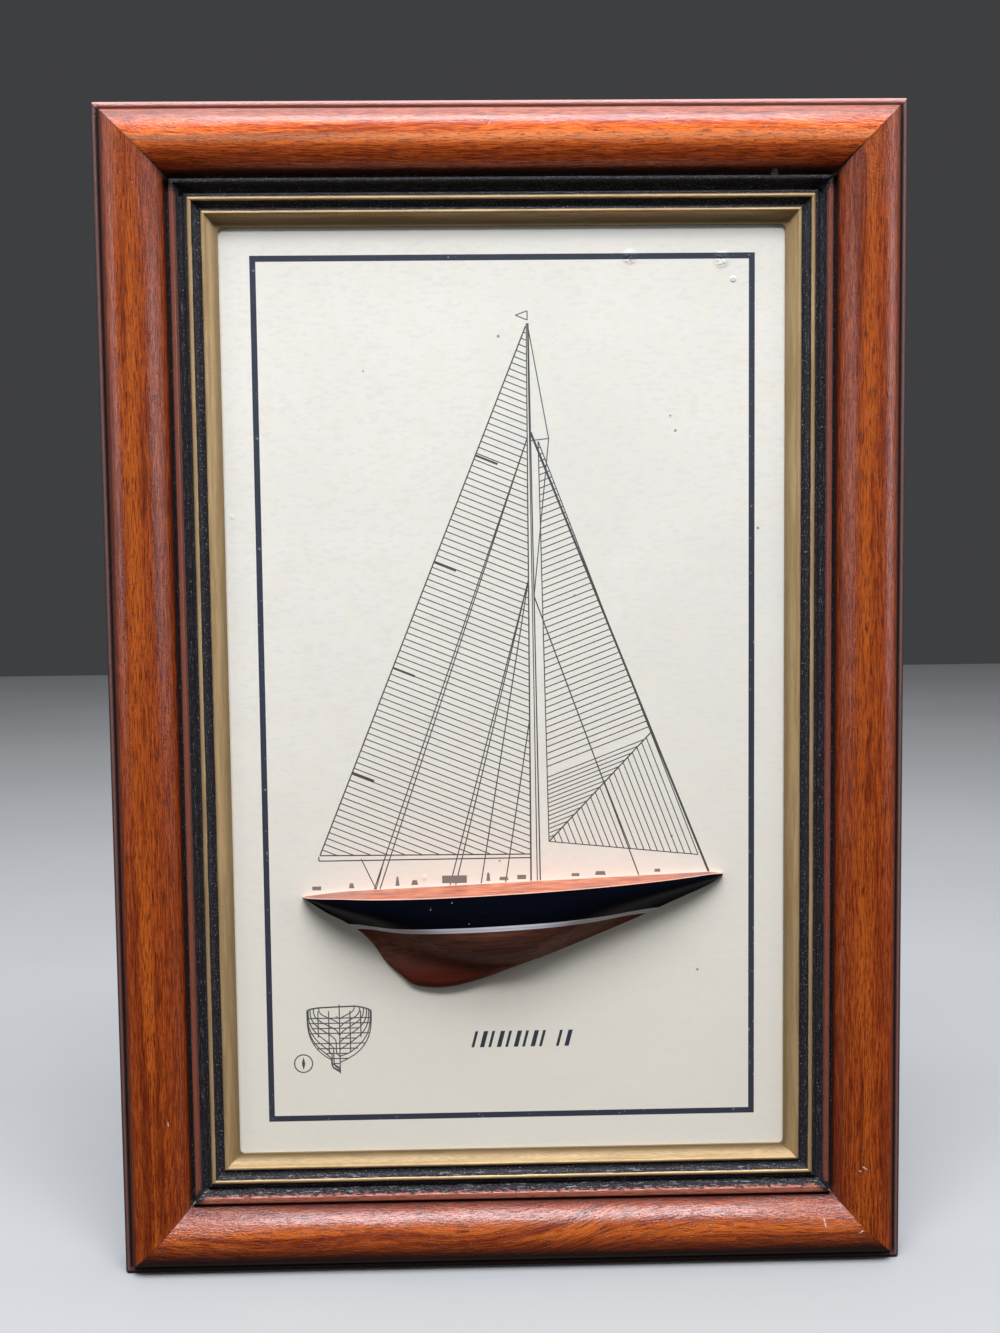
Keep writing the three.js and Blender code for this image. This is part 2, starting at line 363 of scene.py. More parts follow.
# How uneven the faces are: the size of each ripple, in millimetres, its pace along the rail and
# around the section, and how far the whole face is sunk
unevenness = {
    "wood": {"size": 0.05, "along": 0.03, "around": 0.12, "seed": 0, "sink": 0.05},
    "gilt": {"size": 0.05, "along": 0.16, "around": 0.5, "seed": 2, "sink": 0.02},
    "paint": {"size": 0.08, "along": 0.22, "around": 0.7, "seed": 4, "sink": 0.03},
    # size, pace and seed of each wave in the paint lines, how far they reach to both sides of a
    # line, and how far in from the outer side their run is measured
    "edgeWander": ((0.22, 0.05, 3.1), (0.12, 0.3, 7.7)),
    "edgeReach": 0.35,
    "wanderInset": 20,
}

# What all rails share unless railLooks says otherwise
commonLooks = {
    "innerGroove": 1.5,
    "filletEnd": 30.2,  # where the stained part of the fillet ends, from the outer side
    "filletPaint": 0.1,  # how much of the fillet is painted over
    "filletSheen": 1.0,
    "bow": 0.0,  # how far the grain swings to one side, before the place bowAt along the rail
    "bowAt": 0.0,
    "bowLength": 9,
    "paintedSheen": -0.10,  # how much brighter the painted sheen makes the half round than its stain
    "sheenStart": 7.0,
    "sheenRun": 3.5,
    "beadSheen": 1.0,
    "beadReach": 0.5,  # half width of the painted highlight along the crest of the edge bead
    "pale": {"amount": 0.0, "at": 14.9, "width": 1.6},  # a painted sheen streak along the half round
    "flakesAndGlints": 0.12,  # share of the black paint that has flaked, with painted glints on the flakes
    "flakesAndGlintsAt": ((30.4, 1.3, 1.0), (35.6, 0.5, 0.8)),  # place, half width and amount
    "giltSightShade": 1.0,  # painted shade on the gilt towards the sight edge
    "giltShadeFrom": 0.6,
    "giltShadeRun": 2.8,
}

# What differs from rail to rail: how it is turned, how far the stain spreads on the fillet, how
# ragged the painted edge is, how far painted shade with a darker stain reaches into the half round
# from its edges, how bright its painted sheen and the painted highlight on its edge bead are, how
# the grain sweeps, and where a golden band runs along it
railLooks = {
    "top_rail": {
        # paint over the whole fillet here stands partly for painted shade that the half round casts on it
        **commonLooks, "turn": 0, "seed": 11.0, "spread": -0.1, "ragged": 0.12, "filletPaint": 1.0,
        "innerShade": 3.8, "outerShade": 0.3, "sweep": 2.2, "sweepLength": 120, "goldAt": 15.0,
        "goldWidth": 2.6, "paintedSheen": 1.80, "beadSheen": 2.6, "beadReach": 0.9, "beadShade": 0.0,
        "pale": {"amount": 0.42, "at": 14.9, "width": 1.6}},
    "right_rail": {
        **commonLooks, "turn": 90, "seed": 23.0, "spread": 0.0, "ragged": 0.26,
        "innerShade": 1.2, "outerShade": 2.4, "sweep": 1.4, "sweepLength": 150, "goldAt": 16.0,
        "goldWidth": 3.0, "beadShade": 0.15},
    "bottom_rail": {
        **commonLooks, "turn": 180, "seed": 37.0, "spread": 0.6, "ragged": 0.5, "filletPaint": 0.0,
        "innerShade": 2.8, "outerShade": 12.5, "sweep": 5.0, "sweepLength": 60, "goldAt": 16.5,
        "goldWidth": 3.4, "beadShade": 0.75, "innerGroove": 0.6, "filletEnd": 29.2,
        "filletSheen": 1.6, "bow": -17.0, "bowAt": -27.0, "flakesAndGlints": 0.6, "giltSightShade": 1.3, "giltShadeFrom": -1.2},
    "left_rail": {
        **commonLooks, "turn": 270, "seed": 5.0, "spread": 0.25, "ragged": 0.14,
        "innerShade": 1.0, "outerShade": 3.2, "sweep": 1.6, "sweepLength": 160, "goldAt": 13.0,
        "goldWidth": 4.0, "beadShade": 0.2},
}


def between(value, start, end):
    # 0 up to the start, 1 past the end, and in proportion between them
    return min(max((value - start) / (end - start), 0), 1)


def arcPoints(centreIn, centreUp, radiusIn, radiusUp, start, end, steps=40):
    angles = np.radians(np.linspace(start, end, steps))
    return np.stack([centreIn + radiusIn * np.cos(angles), centreUp + radiusUp * np.sin(angles)], 1)


def hollowPoints(start, end, depth, steps=24):
    t = np.linspace(0, 1, steps)[:, None]
    line = np.asarray(start) * (1 - t) + np.asarray(end) * t
    line[:, 1] -= 4 * depth * (t * (1 - t))[:, 0]
    return line


def flatPoints(start, width, height, inset):
    return np.array([(start + inset, height), (start + width - inset, height)])


def outerMembers(m):
    # the edge bead, its groove, the half round and the groove inside it
    bead, groove, torus, inner = (m[name] for name in ("edgeBead", "edgeGroove", "torus", "innerGroove"))
    side = np.array([(0, -boardFace), (0, bead["top"] - bead["shoulder"])])
    radius = bead["width"] / 2
    beadArc = arcPoints(radius, bead["top"] - bead["radius"], radius, bead["radius"], 180, 20)
    at = bead["width"]
    floor = bead["top"] - bead["radius"] - groove["depth"]
    grooveFloor = flatPoints(at, groove["width"], floor, groove["inset"])
    at += groove["width"]
    half, rise = torus["width"] / 2, torus["rise"]
    radius = (half ** 2 + rise ** 2) / (2 * rise)  # the half round is a part of a circle
    reach = math.degrees(math.asin(half / radius))
    torusArc = arcPoints(at + half, torus["spring"] + rise - radius, radius, radius,
                         90 + reach, 90 - reach, 220)
    torusArc[:, 1] += (at + half - torusArc[:, 0]) * torus["lean"]  # the outer side stands higher
    at += torus["width"]
    innerFloor = flatPoints(at, inner["width"], torusArc[-1, 1] - inner["depth"], inner["inset"])
    return at + inner["width"], [("side", side), ("bead", beadArc), ("groove", grooveFloor),
                                 ("torus", torusArc), ("paint", innerFloor)]


def middleMembers(m, at):
    # the fillet with its slope, the cove, the small step and the gold bead
    fillet, step, gold = m["fillet"], m["step"], m["goldBead"]
    rounding = fillet["rounding"]
    corner = fillet["top"] - rounding
    rise = arcPoints(at + rounding, corner, rounding, rounding, 180, 100)
    at += fillet["width"]
    fall = arcPoints(at - rounding, corner, rounding, rounding, 90, 30)
    slopeEnd = np.array([(at + fillet["slopeWidth"] * 0.35, fillet["top"] - fillet["slopeDrop"] * 0.5)])
    at += fillet["slopeWidth"]
    coveStart = (at, fillet["top"] - fillet["slopeDrop"])
    at += m["cove"]["width"]
    shoulder = gold["top"] - gold["rise"]
    cove = hollowPoints(coveStart, (at, shoulder - step["rise"]), m["cove"]["depth"])
    stepArc = arcPoints(at + step["width"] * 0.42, shoulder - step["drop"], step["width"] * 0.4,
                        step["rise"], 175, 5, 14)
    at += step["width"]
    radius = gold["width"] / 2
    bead = arcPoints(at + radius, shoulder, radius, gold["rise"], 175, 5, 34)
    members = [("paint", rise[:12]), ("fillet", np.concatenate([rise[12:], fall, slopeEnd])),
               ("paint", cove), ("paint", stepArc),
               ("paint", bead[:4]), ("gilt", bead[3:31]), ("paint", bead[30:])]
    return at + gold["width"], shoulder, members


def innerMembers(m, at, shoulder):
    # the flute, the lip, the gilt slope down to the sight edge, and the rebate
    flute, lip, edge = m["flute"], m["lip"], m["sightEdge"]
    fluteStart = (at + flute["inset"], shoulder - flute["depth"] * 0.5)
    at += flute["width"]
    lipShoulder = lip["top"] - lip["rise"]
    fluteEnd = (at - flute["inset"], lipShoulder - flute["depth"] * 0.1)
    hollow = hollowPoints(fluteStart, fluteEnd, flute["depth"] * 0.6)
    radius = lip["width"] / 2
    lipArc = arcPoints(at + radius, lipShoulder, radius, lip["rise"], 175, 5, 32)
    at += lip["width"]
    sightTop = edge["thickness"] + edge["slopeEnd"]
    slope = hollowPoints((at, lipShoulder), (at + m["sightCove"]["width"], sightTop),
                         m["sightCove"]["hollow"])
    at += m["sightCove"]["width"]
    inside = at - m["rebateOverlap"]
    return [("paint", hollow), ("paint", lipArc[:4]), ("gilt", np.concatenate([lipArc[3:], slope])),
            ("gilt", np.array([(at, sightTop - 0.15), (at, edge["foot"])])),
            ("back", np.array([(inside, edge["foot"]), (inside, -boardFace)]))]


def mouldingSection(m):
    # stretches of the section as (finish, points), from the back of the outer side to the rebate
    at, stretches = outerMembers(m)
    at, shoulder, members = middleMembers(m, at)
    return stretches + members + innerMembers(m, at, shoulder)


def resampledSection(m):
    # evenly spaced points with their finish, and rounded corners on the face of the moulding
    points, finish = [], []
    for kind, stretch in mouldingSection(m):
        points.append(stretch)
        finish += [kind] * len(stretch)
    points = np.concatenate(points)
    run = lengthAlong(points)
    marks = [0]
    for i in range(1, len(run)):  # keep the ends of each finish, drop points that lie too close
        if finish[i] != finish[i - 1] or run[i] - run[marks[-1]] >= m["faceStep"]:
            marks.append(i)
    if marks[-1] != len(run) - 1:
        marks.append(len(run) - 1)
    partsOf = {"back": 1, "side": 6}
    kept, kinds = [points[marks[0]]], []
    for a, b in zip(marks[:-1], marks[1:]):
        parts = max(1, int(math.ceil((run[b] - run[a]) / (m["faceStep"] * 1.6))))
        parts = partsOf.get(finish[b], parts)
        for k in range(1, parts + 1):
            kept.append(points[a] + (points[b] - points[a]) * k / parts)
            kinds.append(finish[b])
    kept = np.array(kept)
    movable = np.array([kind != "back" for kind in kinds] + [False])
    movable[0] = False
    movable[-6:] = False  # the sight edge and the rebate keep their corners
    for _ in range(m["softening"]):
        smooth = kept.copy()
        smooth[1:-1] = kept[1:-1] * 0.5 + (kept[:-2] + kept[2:]) * 0.25
        onSide = kept[:, 0] < 1e-6
        kept = np.where((movable & ~onSide)[:, None], smooth, kept)
    return kept, kinds


def finishDepth(run, kinds, wanted):
    # how far each point of the section lies inside a finish, below nought where it is outside
    inside = np.array([kind == wanted for kind in kinds])
    edges = [run[i + 1] for i in range(len(inside) - 1) if inside[i] != inside[i + 1]]
    middle = np.concatenate([inside, inside[-1:]]) | np.concatenate([inside[:1], inside])
    distance = np.min(np.abs(run[:, None] - np.array(edges)[None, :]), axis=1)
    return np.where(middle, distance, -distance)


def openedMitre(name, end, inward, m):
    # how much further than usual a joint stands open, and only one of the four does
    if (name, end) not in m["openJoint"]:
        return 0.0
    joint = m["joint"]
    return joint["opening"] * math.exp(-((inward - joint["openAt"]) / joint["openWidth"]) ** 2)


def cornerRadius(inward, m):
    # the corners are rounded at the outer bead and at the sight edge, and sharp between
    return sum(r["radius"] * between(inward, r["none"], r["full"])
               for r in (m["outerRounding"], m["sightRounding"]))


def roundedCorner(fromCorner, radius):
    # how much shorter a rounded corner makes the run, and how far it moves the edge inwards
    if radius <= 0 or fromCorner >= 2 * radius:
        return 0.0, 0.0
    eaten = (1 - math.sqrt(0.5)) * radius * (1 - fromCorner / (2 * radius))
    reached = fromCorner + eaten
    if reached >= radius:
        return eaten, 0.0
    return eaten, radius - math.sqrt(radius ** 2 - (radius - reached) ** 2)


def stationsAlong(length, m):
    # places along a rail as shares of its length, closer together near both mitres
    half = length / 2
    near, start = list(m["nearMitre"]), m["middleStart"]
    middle = np.linspace(start, length - start, int((length - 2 * start) / m["alongStep"]))
    places = np.concatenate([near, middle, [length - d for d in reversed(near)]])
    return (places - half) / half


def sectionLooks(section, run, kinds, looks, m):
    # what the finish has to know at each point of the section
    inward, height = section.T
    depth = {kind: finishDepth(run, kinds, kind) for kind in ("torus", "fillet", "gilt", "bead")}
    filletDepth = np.minimum(depth["fillet"] + looks["spread"], looks["filletEnd"] - inward)
    torusStart = m["edgeBead"]["width"] + m["edgeGroove"]["width"]
    sightStart = inward[-2] + m["rebateOverlap"] - m["sightCove"]["width"]
    onTorus = depth["torus"] > -0.3
    fromInner = torusStart + m["torus"]["width"] - inward
    # painted shade, with a darker stain, along the inner and outer edges of the half round
    innerShade = np.clip(1 - fromInner / looks["innerShade"], 0, 1) * onTorus
    outerShade = np.clip(1 - (inward - torusStart) / looks["outerShade"], 0, 1) * onTorus
    # painted shade on the gilt towards the sight edge
    sightShade = looks["giltSightShade"] * np.clip((inward - sightStart - looks["giltShadeFrom"]) / looks["giltShadeRun"], 0, 1)
    onBead = (inward < torusStart + 0.3) & (height > m["edgeBead"]["top"] - m["edgeBead"]["shoulder"] - 0.1)
    # painted sheen: how much brighter the half round, the edge bead and the fillet are drawn
    paintedSheen = 1 + looks["paintedSheen"] * np.clip((inward - looks["sheenStart"]) / looks["sheenRun"], 0, 1)
    paintedSheen = np.where(onBead, looks["beadSheen"], paintedSheen)
    paintedSheen = np.where(depth["fillet"] > -0.2, looks["filletSheen"], paintedSheen)
    # a painted highlight along the crest of the edge bead, weaker where beadShade dims it
    beadHighlight = bell(inward, m["edgeBead"]["width"] * 0.55, looks["beadReach"]) * (depth["bead"] > -0.4)
    still = np.array([kinds[max(0, i - 1)] in ("side", "back") for i in range(len(section))])
    return {
        "wood": np.maximum(depth["torus"], filletDepth),
        "gilt": depth["gilt"],
        "onTorus": onTorus,
        "onFillet": np.where(depth["fillet"] > depth["torus"], 1.0, 0.0),
        "shade": np.maximum.reduce([innerShade, outerShade, sightShade]),
        "golden": bell(inward, looks["goldAt"], looks["goldWidth"]),
        "pale": looks["pale"]["amount"] * bell(inward, looks["pale"]["at"], looks["pale"]["width"]),
        "paintedSheen": paintedSheen,
        "beadHighlight": beadHighlight * (1 - looks["beadShade"]),
        "flakesAndGlints": looks["flakesAndGlints"] * sum(amount * bell(inward, place, width)
                                        for place, width, amount in looks["flakesAndGlintsAt"]),
        "still": still | (inward < 0.3) | (height < 0.2),
    }


def faceLift(marks, j, along, around, seed):
    # how far the uneven surface stands above the true section
    kind = "wood" if marks["wood"][j] > 0 else "gilt" if marks["gilt"][j] > 0 else "paint"
    u = unevenness[kind]
    return u["size"] * ripple(along * u["along"], around * u["around"], seed + u["seed"]) - u["sink"]


def grainBend(along, around, looks):
    bend = looks["sweep"] * ripple(along / looks["sweepLength"], around * 0.03, looks["seed"] + 9)
    return bend + looks["bow"] / (1 + math.exp((along - looks["bowAt"]) / looks["bowLength"]))


def placeAlong(name, share, inward, length, radius, still, m):
    # how far along its rail a point lies, how far its rounded corner moves it in, and its distance
    # from the corner
    half = length / 2 - inward
    fromCorner = half * (1 - abs(share))
    eaten, shift = roundedCorner(fromCorner, radius)
    side = 1 if share > 0 else -1
    opened = m["joint"]["trim"] + openedMitre(name, side, inward, m)
    trim = m["joint"]["backTrim"] if still else opened
    return side * ((half - trim) * abs(share) - eaten), shift, fromCorner


def pointLooks(marks, j, along, around, fromCorner, looks, m):
    # what the finishes read at one point of a rail
    bend = grainBend(along, around, looks) if marks["onTorus"][j] else 0  # paint has no figure
    nearCorner = max(0, 1 - fromCorner / m["cornerPaint"]["reach"])
    painted = looks["filletPaint"] + m["cornerPaint"]["amount"] * nearCorner
    onFillet = marks["onFillet"][j]
    return {
        "grain": (along, around + bend, looks["seed"] * 10),
        "zones": (marks["wood"][j], looks["ragged"], onFillet),
        "marks": (fromCorner * m["mitreShare"], onFillet * painted, marks["beadHighlight"][j]),
        "figure": (marks["shade"][j], marks["golden"][j], marks["pale"][j]),
        "paintedSheen": marks["paintedSheen"][j],
        "flakesAndGlints": marks["flakesAndGlints"][j],
    }


def railMesh(name, looks, m):
    narrower = m["innerGroove"]["width"] - looks["innerGroove"]  # the fillet gains what the groove loses
    m = {**m, "innerGroove": {**m["innerGroove"], "width": looks["innerGroove"]},
         "fillet": {**m["fillet"], "width": m["fillet"]["width"] + narrower}}
    section, kinds = resampledSection(m)
    run = lengthAlong(section)
    marks = sectionLooks(section, run, kinds, looks, m)
    tangent = np.gradient(section, axis=0)
    tangent /= np.maximum(np.hypot(*tangent.T), 1e-9)[:, None]
    normal = np.stack([-tangent[:, 1], tangent[:, 0]], 1)
    upright = looks["turn"] in (90, 270)
    length, reach = (frameHeight, frameWidth / 2) if upright else (frameWidth, frameHeight / 2)
    seed, angle = looks["seed"], math.radians(looks["turn"])
    radii = [0.0 if kinds[max(0, j - 1)] == "back" else cornerRadius(inward, m)
             for j, inward in enumerate(section[:, 0])]
    shares = stationsAlong(length - 2 * m["middleInset"], m)
    points, looked = [], []
    for share in shares:
        middle = share * (length / 2 - unevenness["wanderInset"])
        wander = sum(size * ripple(middle * pace, seed, row)
                     for size, pace, row in unevenness["edgeWander"])
        for j, (inward, height) in enumerate(section):
            still = marks["still"][j]
            along, shift, fromCorner = placeAlong(name, share, inward, length, radii[j], still, m)
            lift = sideways = 0.0
            if not still:
                lift = faceLift(marks, j, along, run[j], seed)
                sideways = wander * math.exp(-(marks["gilt"][j] / unevenness["edgeReach"]) ** 2)
            s = inward + shift + normal[j, 0] * lift + tangent[j, 0] * sideways
            h = height + normal[j, 1] * lift + tangent[j, 1] * sideways
            x = along * math.cos(angle) + (reach - s) * math.sin(angle)
            z = -along * math.sin(angle) + (reach - s) * math.cos(angle)
            points.append((x, -(boardFace + h), z + centreHeight))
            looked.append(pointLooks(marks, j, along, run[j], fromCorner, looks, m))
    attributes = {key: [each[key] for each in looked] for key in looked[0]}
    slots = {"gilt": 1, "back": 2}  # every other finish is in the first one
    faceMaterials = [slots.get(kind, 0) for kind in kinds] + [slots["back"]]
    faceMaterials = faceMaterials * (len(shares) - 1) + [slots["back"]] * 2
    return points, outward(points, tubeFaces(len(shares), len(section))), faceMaterials, attributes


# Finish of the frame
stain = {
    "dark": (0.0904, 0.008, 0.000909),
    "middle": (0.245, 0.03, 0.00318),
    "light": (0.447, 0.078, 0.00818),
    "gold": (0.585, 0.122, 0.0127),
    # colour of the painted shade and darker stain at the half round's edges
    "edgeShade": (0.0532, 0.017, 0.0145),
    "filletBrown": (0.213, 0.07, 0.0455),
    "paint": (0.0191, 0.016, 0.0182),
    # dust, and painted glints, on the black paint
    "paintDustAndGlints": (0.362, 0.33, 0.327),
    "grooveBrown": (0.0426, 0.021, 0.0182),
    # colour of the painted highlight on the edge bead's crest
    "beadHighlightColour": (0.255, 0.122, 0.102),
    # colour of the painted sheen streak
    "pale": (0.9, 0.46, 0.245),
    # flaked paint, and painted glints on the paint's edges
    "flakeAndGlint": (0.532, 0.5, 0.5),
    # colour of the painted shade on the gilt
    "giltInShade": (0.213, 0.135, 0.0545),
    "gilt": (0.532, 0.36, 0.173),
    "giltShade": (0.404, 0.26, 0.114),
    "scuff": (0.72, 0.64, 0.60),
    "rawWood": (0.489, 0.31, 0.164),
    "rawWoodShade": 0.6,  # of the darker streaks
}

# Pale scuffs on the mouldings: right and up from the middle of the frame, half length, half
# width and turn in degrees
scuffs = [
    (101.2, 194.7, 1.6, 1.3, 20), (97.6, 193.9, 0.5, 0.4, 0), (134.8, -181.8, 1.4, 0.4, 30),
    (133.0, -183.2, 0.7, 0.35, 20), (119.6, -203.5, 2.6, 0.35, 80), (133.5, -206.8, 1.4, 0.3, -30),
    (-6.8, 212.0, 1.6, 0.16, -50), (-4.6, 210.6, 1.3, 0.14, -48), (-131.0, -160.0, 1.5, 0.25, 85),
]


def woodColour(tree, grain, golden, colours):
    # broad bands, streaks of two widths that waver a little, and short dark pores
    drift = product(tree, figureOf(tree, grain, (0.06, 0.22, 1), 3, 0.6), 2.2)
    drift = addNode(tree, "ShaderNodeCombineXYZ", {"Y": drift}).outputs[0]
    grain = addNode(tree, "ShaderNodeVectorMath", {0: grain, 1: drift}, operation="ADD").outputs["Vector"]
    bands = figureOf(tree, grain, (0.008, 0.20, 1), 2, 0.5)
    streaks = figureOf(tree, grain, (0.07, 1.25, 1), 2, 0.55)
    fine = figureOf(tree, grain, (0.13, 2.6, 1), 3, 0.65)
    pores = ramp(tree, figureOf(tree, grain, (0.34, 3.4, 1), 1, 0.5), 0.58, 0.66, 0, 0.52)
    wood = blendColour(tree, ramp(tree, streaks, 0.36, 0.62), colours["middle"], colours["light"])
    goldBand = product(tree, product(tree, golden, ramp(tree, bands, 0.34, 0.56)), 0.8)
    wood = blendColour(tree, goldBand, wood, colours["gold"])
    for darker in (ramp(tree, bands, 0.47, 0.33, 0, 0.45), ramp(tree, fine, 0.53, 0.37, 0, 0.85), pores):
        wood = blendColour(tree, darker, wood, colours["dark"])
    return wood, pores


def agedWood(tree, grain, blotches, colours):
    # the stained wood with its fillet and its painted sheen, seams at the mitres, and painted shade with a
    # darker stain at its edges
    ragged, onFillet = readThree(tree, "zones")[1:3]
    fromMitre = readThree(tree, "marks")[0]
    shade, golden, pale = readThree(tree, "figure")
    paintedSheen = readAttribute(tree, "paintedSheen", "Fac")  # painted sheen: fibres that lie across throw more of the light forward, so the stain is brightened
    wood, pores = woodColour(tree, grain, golden, colours)
    # a painted sheen streak along the half round, kept off the pores
    pale = product(tree, pale, ramp(tree, pores, 0.5, 0))
    wood = blendColour(tree, pale, brightened(tree, wood, paintedSheen), colours["pale"])
    # painted sheen on the fillet as well
    fillet = brightened(tree, colours["filletBrown"], paintedSheen)
    wood = blendColour(tree, product(tree, onFillet, 0.85), wood, fillet)
    cracks = ramp(tree, figureOf(tree, grain, (0.22, 1.7, 1), 3, 0.6), 0.53, 0.60)
    wood = blendColour(tree, product(tree, cracks, product(tree, onFillet, ragged)), wood, colours["dark"])
    wood = blendColour(tree, ramp(tree, fromMitre, 0.6, 0.05, 0, 0.38), wood, colours["dark"])
    # painted shade, with a darker stain, towards the edges of the half round
    uneven = maths(tree, "ADD", shade, around(tree, blotches, 0.5, 0.5))
    return blendColour(tree, ramp(tree, uneven, 0.02, 0.95, 0, 0.93), wood, colours["edgeShade"]), pores


def agedPaint(tree, grain, flakedAndGlinting, colours):
    # the black paint, dusty and flaked with painted glints, and brown in the groove beside the edge bead,
    # brightened there by painted sheen
    # dust specks and painted glints on the black paint
    dust = ramp(tree, figureOf(tree, grain, (1.3, 1.9, 1), 2, 0.6), 0.59, 0.70, 0, 0.75)
    paint = blendColour(tree, dust, colours["paint"], colours["paintDustAndGlints"])
    paint = blendColour(tree, flakedAndGlinting, paint, colours["flakeAndGlint"])
    grooveRun = boardFace + moulding["edgeBead"]["top"] + moulding["edgeBead"]["width"]
    outerPart = ramp(tree, splitVector(tree, grain)[1], grooveRun + 2.0, grooveRun + 0.5)
    # painted sheen brightens the brown in the groove
    paintedSheen = maths(tree, "POWER", readAttribute(tree, "paintedSheen", "Fac"), 2.4)
    return blendColour(tree, outerPart, paint, brightened(tree, colours["grooveBrown"], paintedSheen))


def scuffMask(tree):
    face = objectPlace(tree)
    mask = 0.0
    for right, up, halfLength, halfWidth, turn in scuffs:
        placed = addNode(tree, "ShaderNodeMapping", {
            "Vector": face, "Location": (right * millimetre, 0, (up + centreHeight) * millimetre),
            "Rotation": (0, math.radians(turn), 0),
            "Scale": (halfLength * millimetre, 1.0, halfWidth * millimetre)}, vector_type="TEXTURE")
        away = addNode(tree, "ShaderNodeVectorMath", {0: placed.outputs["Vector"]}, operation="LENGTH")
        mask = maths(tree, "MAXIMUM", mask, ramp(tree, away.outputs["Value"], 1.0, 0.5))
    return product(tree, mask, ramp(tree, noiseOf(tree, face, 1500.0, 2), 0.38, 0.52))


def woodShare(tree, blotches):
    # 1 where the stain shows and 0 where paint covers it, with a ragged line between
    woodDepth, ragged, _ = readThree(tree, "zones")
    painted = readThree(tree, "marks")[1]
    wobble = product(tree, maths(tree, "SUBTRACT", blotches, 0.45), ragged)
    edge = maths(tree, "MULTIPLY_ADD", wobble, 5.0, woodDepth)
    covered = ramp(tree, maths(tree, "ADD", painted, maths(tree, "SUBTRACT", blotches, 0.5)), 0.3, 0.9)
    return product(tree, ramp(tree, edge, -0.10, 0.25), maths(tree, "SUBTRACT", 1.0, covered))


def makeMouldingFinish(colours):
    material, tree, shader = newMaterial("stained and painted wood", {
        "Roughness": 0.5, "Specular IOR Level": 0.06, "Coat IOR": 1.5})
    grain = readAttribute(tree, "grain")
    ragged = readThree(tree, "zones")[1]
    fromMitre, _, beadHighlight = readThree(tree, "marks")
    paintedSheen, flakyAndGlinting = readAttribute(tree, "paintedSheen", "Fac"), readAttribute(tree, "flakesAndGlints", "Fac")
    blotches = figureOf(tree, grain, (0.45, 0.9, 1), 3, 0.6)
    # pale flecks of flaked paint and painted glints
    flakedAndGlinting = product(tree, ramp(tree, figureOf(tree, grain, (0.20, 1.1, 1), 3, 0.62), 0.55, 0.66), flakyAndGlinting)
    wood, pores = agedWood(tree, grain, blotches, colours)
    woodMask = woodShare(tree, blotches)
    colour = blendColour(tree, woodMask, agedPaint(tree, grain, flakedAndGlinting, colours), wood)
    # painted highlight along the crest of the edge bead
    colour = blendColour(tree, beadHighlight, colour, brightened(tree, colours["beadHighlightColour"], paintedSheen))
    colour = blendColour(tree, product(tree, scuffMask(tree), 0.75), colour, colours["scuff"])
    grit = figureOf(tree, grain, (0.7, 1.7, 1), 4, 0.7)
    grit = maths(tree, "ADD", product(tree, grit, maths(tree, "SUBTRACT", 1.0, woodMask)), flakedAndGlinting)
    dents = figureOf(tree, grain, (0.8, 1.3, 1), 3, 0.65)
    dents = product(tree, dents, ramp(tree, fromMitre, 34, 8, 1.0, 3.0))  # lumpier near the corners
    fibres = product(tree, figureOf(tree, grain, (0.22, 3.0, 1), 2, 0.6), woodMask)
    normal = reliefOf(tree, [
        (figureOf(tree, grain, (0.10, 0.30, 1)), 0.00035, 0.5), (dents, 0.00012, 0.8),
        (fibres, 0.00006, 0.7), (pores, -0.00009, 0.9), (grit, 0.00030, 0.9)])
    glossy = maths(tree, "MAXIMUM", woodMask, beadHighlight)
    weathered = maths(tree, "MULTIPLY_ADD", ragged, -0.75, 0.66)  # old paint has lost its gloss
    feed(tree, shader, colour=colour, normal=normal, coatNormal=normal,
         coat=maths(tree, "MAXIMUM", weathered, glossy), coatRough=ramp(tree, glossy, 0, 1, 0.30, 0.22))
    return material


def makeGilt(colours):
    material, tree, shader = newMaterial("gilt", {
        "Metallic": 0.5, "Coat Weight": 0.1, "Coat Roughness": 0.3})
    grain = readAttribute(tree, "grain")
    tone = ramp(tree, figureOf(tree, grain, (0.03, 0.45, 1), 3, 0.6), 0.35, 0.65)
    colour = blendColour(tree, tone, colours["giltShade"], colours["gilt"])
    # painted shade on the gilt towards the sight edge
    giltSightShade = product(tree, readThree(tree, "figure")[0], 0.62)
    colour = blendColour(tree, giltSightShade, colour, colours["giltInShade"])
    brush = figureOf(tree, grain, (0.35, 1.6, 1), 4, 0.6)
    speck = ramp(tree, figureOf(tree, grain, (1.1, 2.2, 1)), 0.66, 0.74, 0, 0.7)
    feed(tree, shader, colour=blendColour(tree, speck, colour, colours["dark"]),
         rough=ramp(tree, brush, 0.3, 0.7, 0.52, 0.66), normal=reliefOf(tree, [(brush, 0.00009, 0.5)]))
    return material


def makeRawWood(colours):
    material, tree, shader = newMaterial("plain wood", {"Roughness": 0.7})
    streaks = figureOf(tree, readAttribute(tree, "grain"), (0.03, 1.2, 1), 4, 0.6)
    darker = shaded(colours["rawWood"], colours["rawWoodShade"])
    feed(tree, shader, colour=blendColour(tree, ramp(tree, streaks, 0.3, 0.7), darker, colours["rawWood"]),
         normal=reliefOf(tree, [(streaks, 0.0001, 0.4)]))
    return material


frameFinishes = [makeMouldingFinish(stain), makeGilt(stain), makeRawWood(stain)]
for railName, looks in railLooks.items():
    points, faces, faceMaterials, attributes = railMesh(railName, looks, moulding)
    rail = makePiece("moulded_" + railName, points, faces, frameFinishes, faceMaterials, attributes)
    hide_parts(railName)
    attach(rail, "root")
    print("%s has %d faces" % (railName, len(faces)))

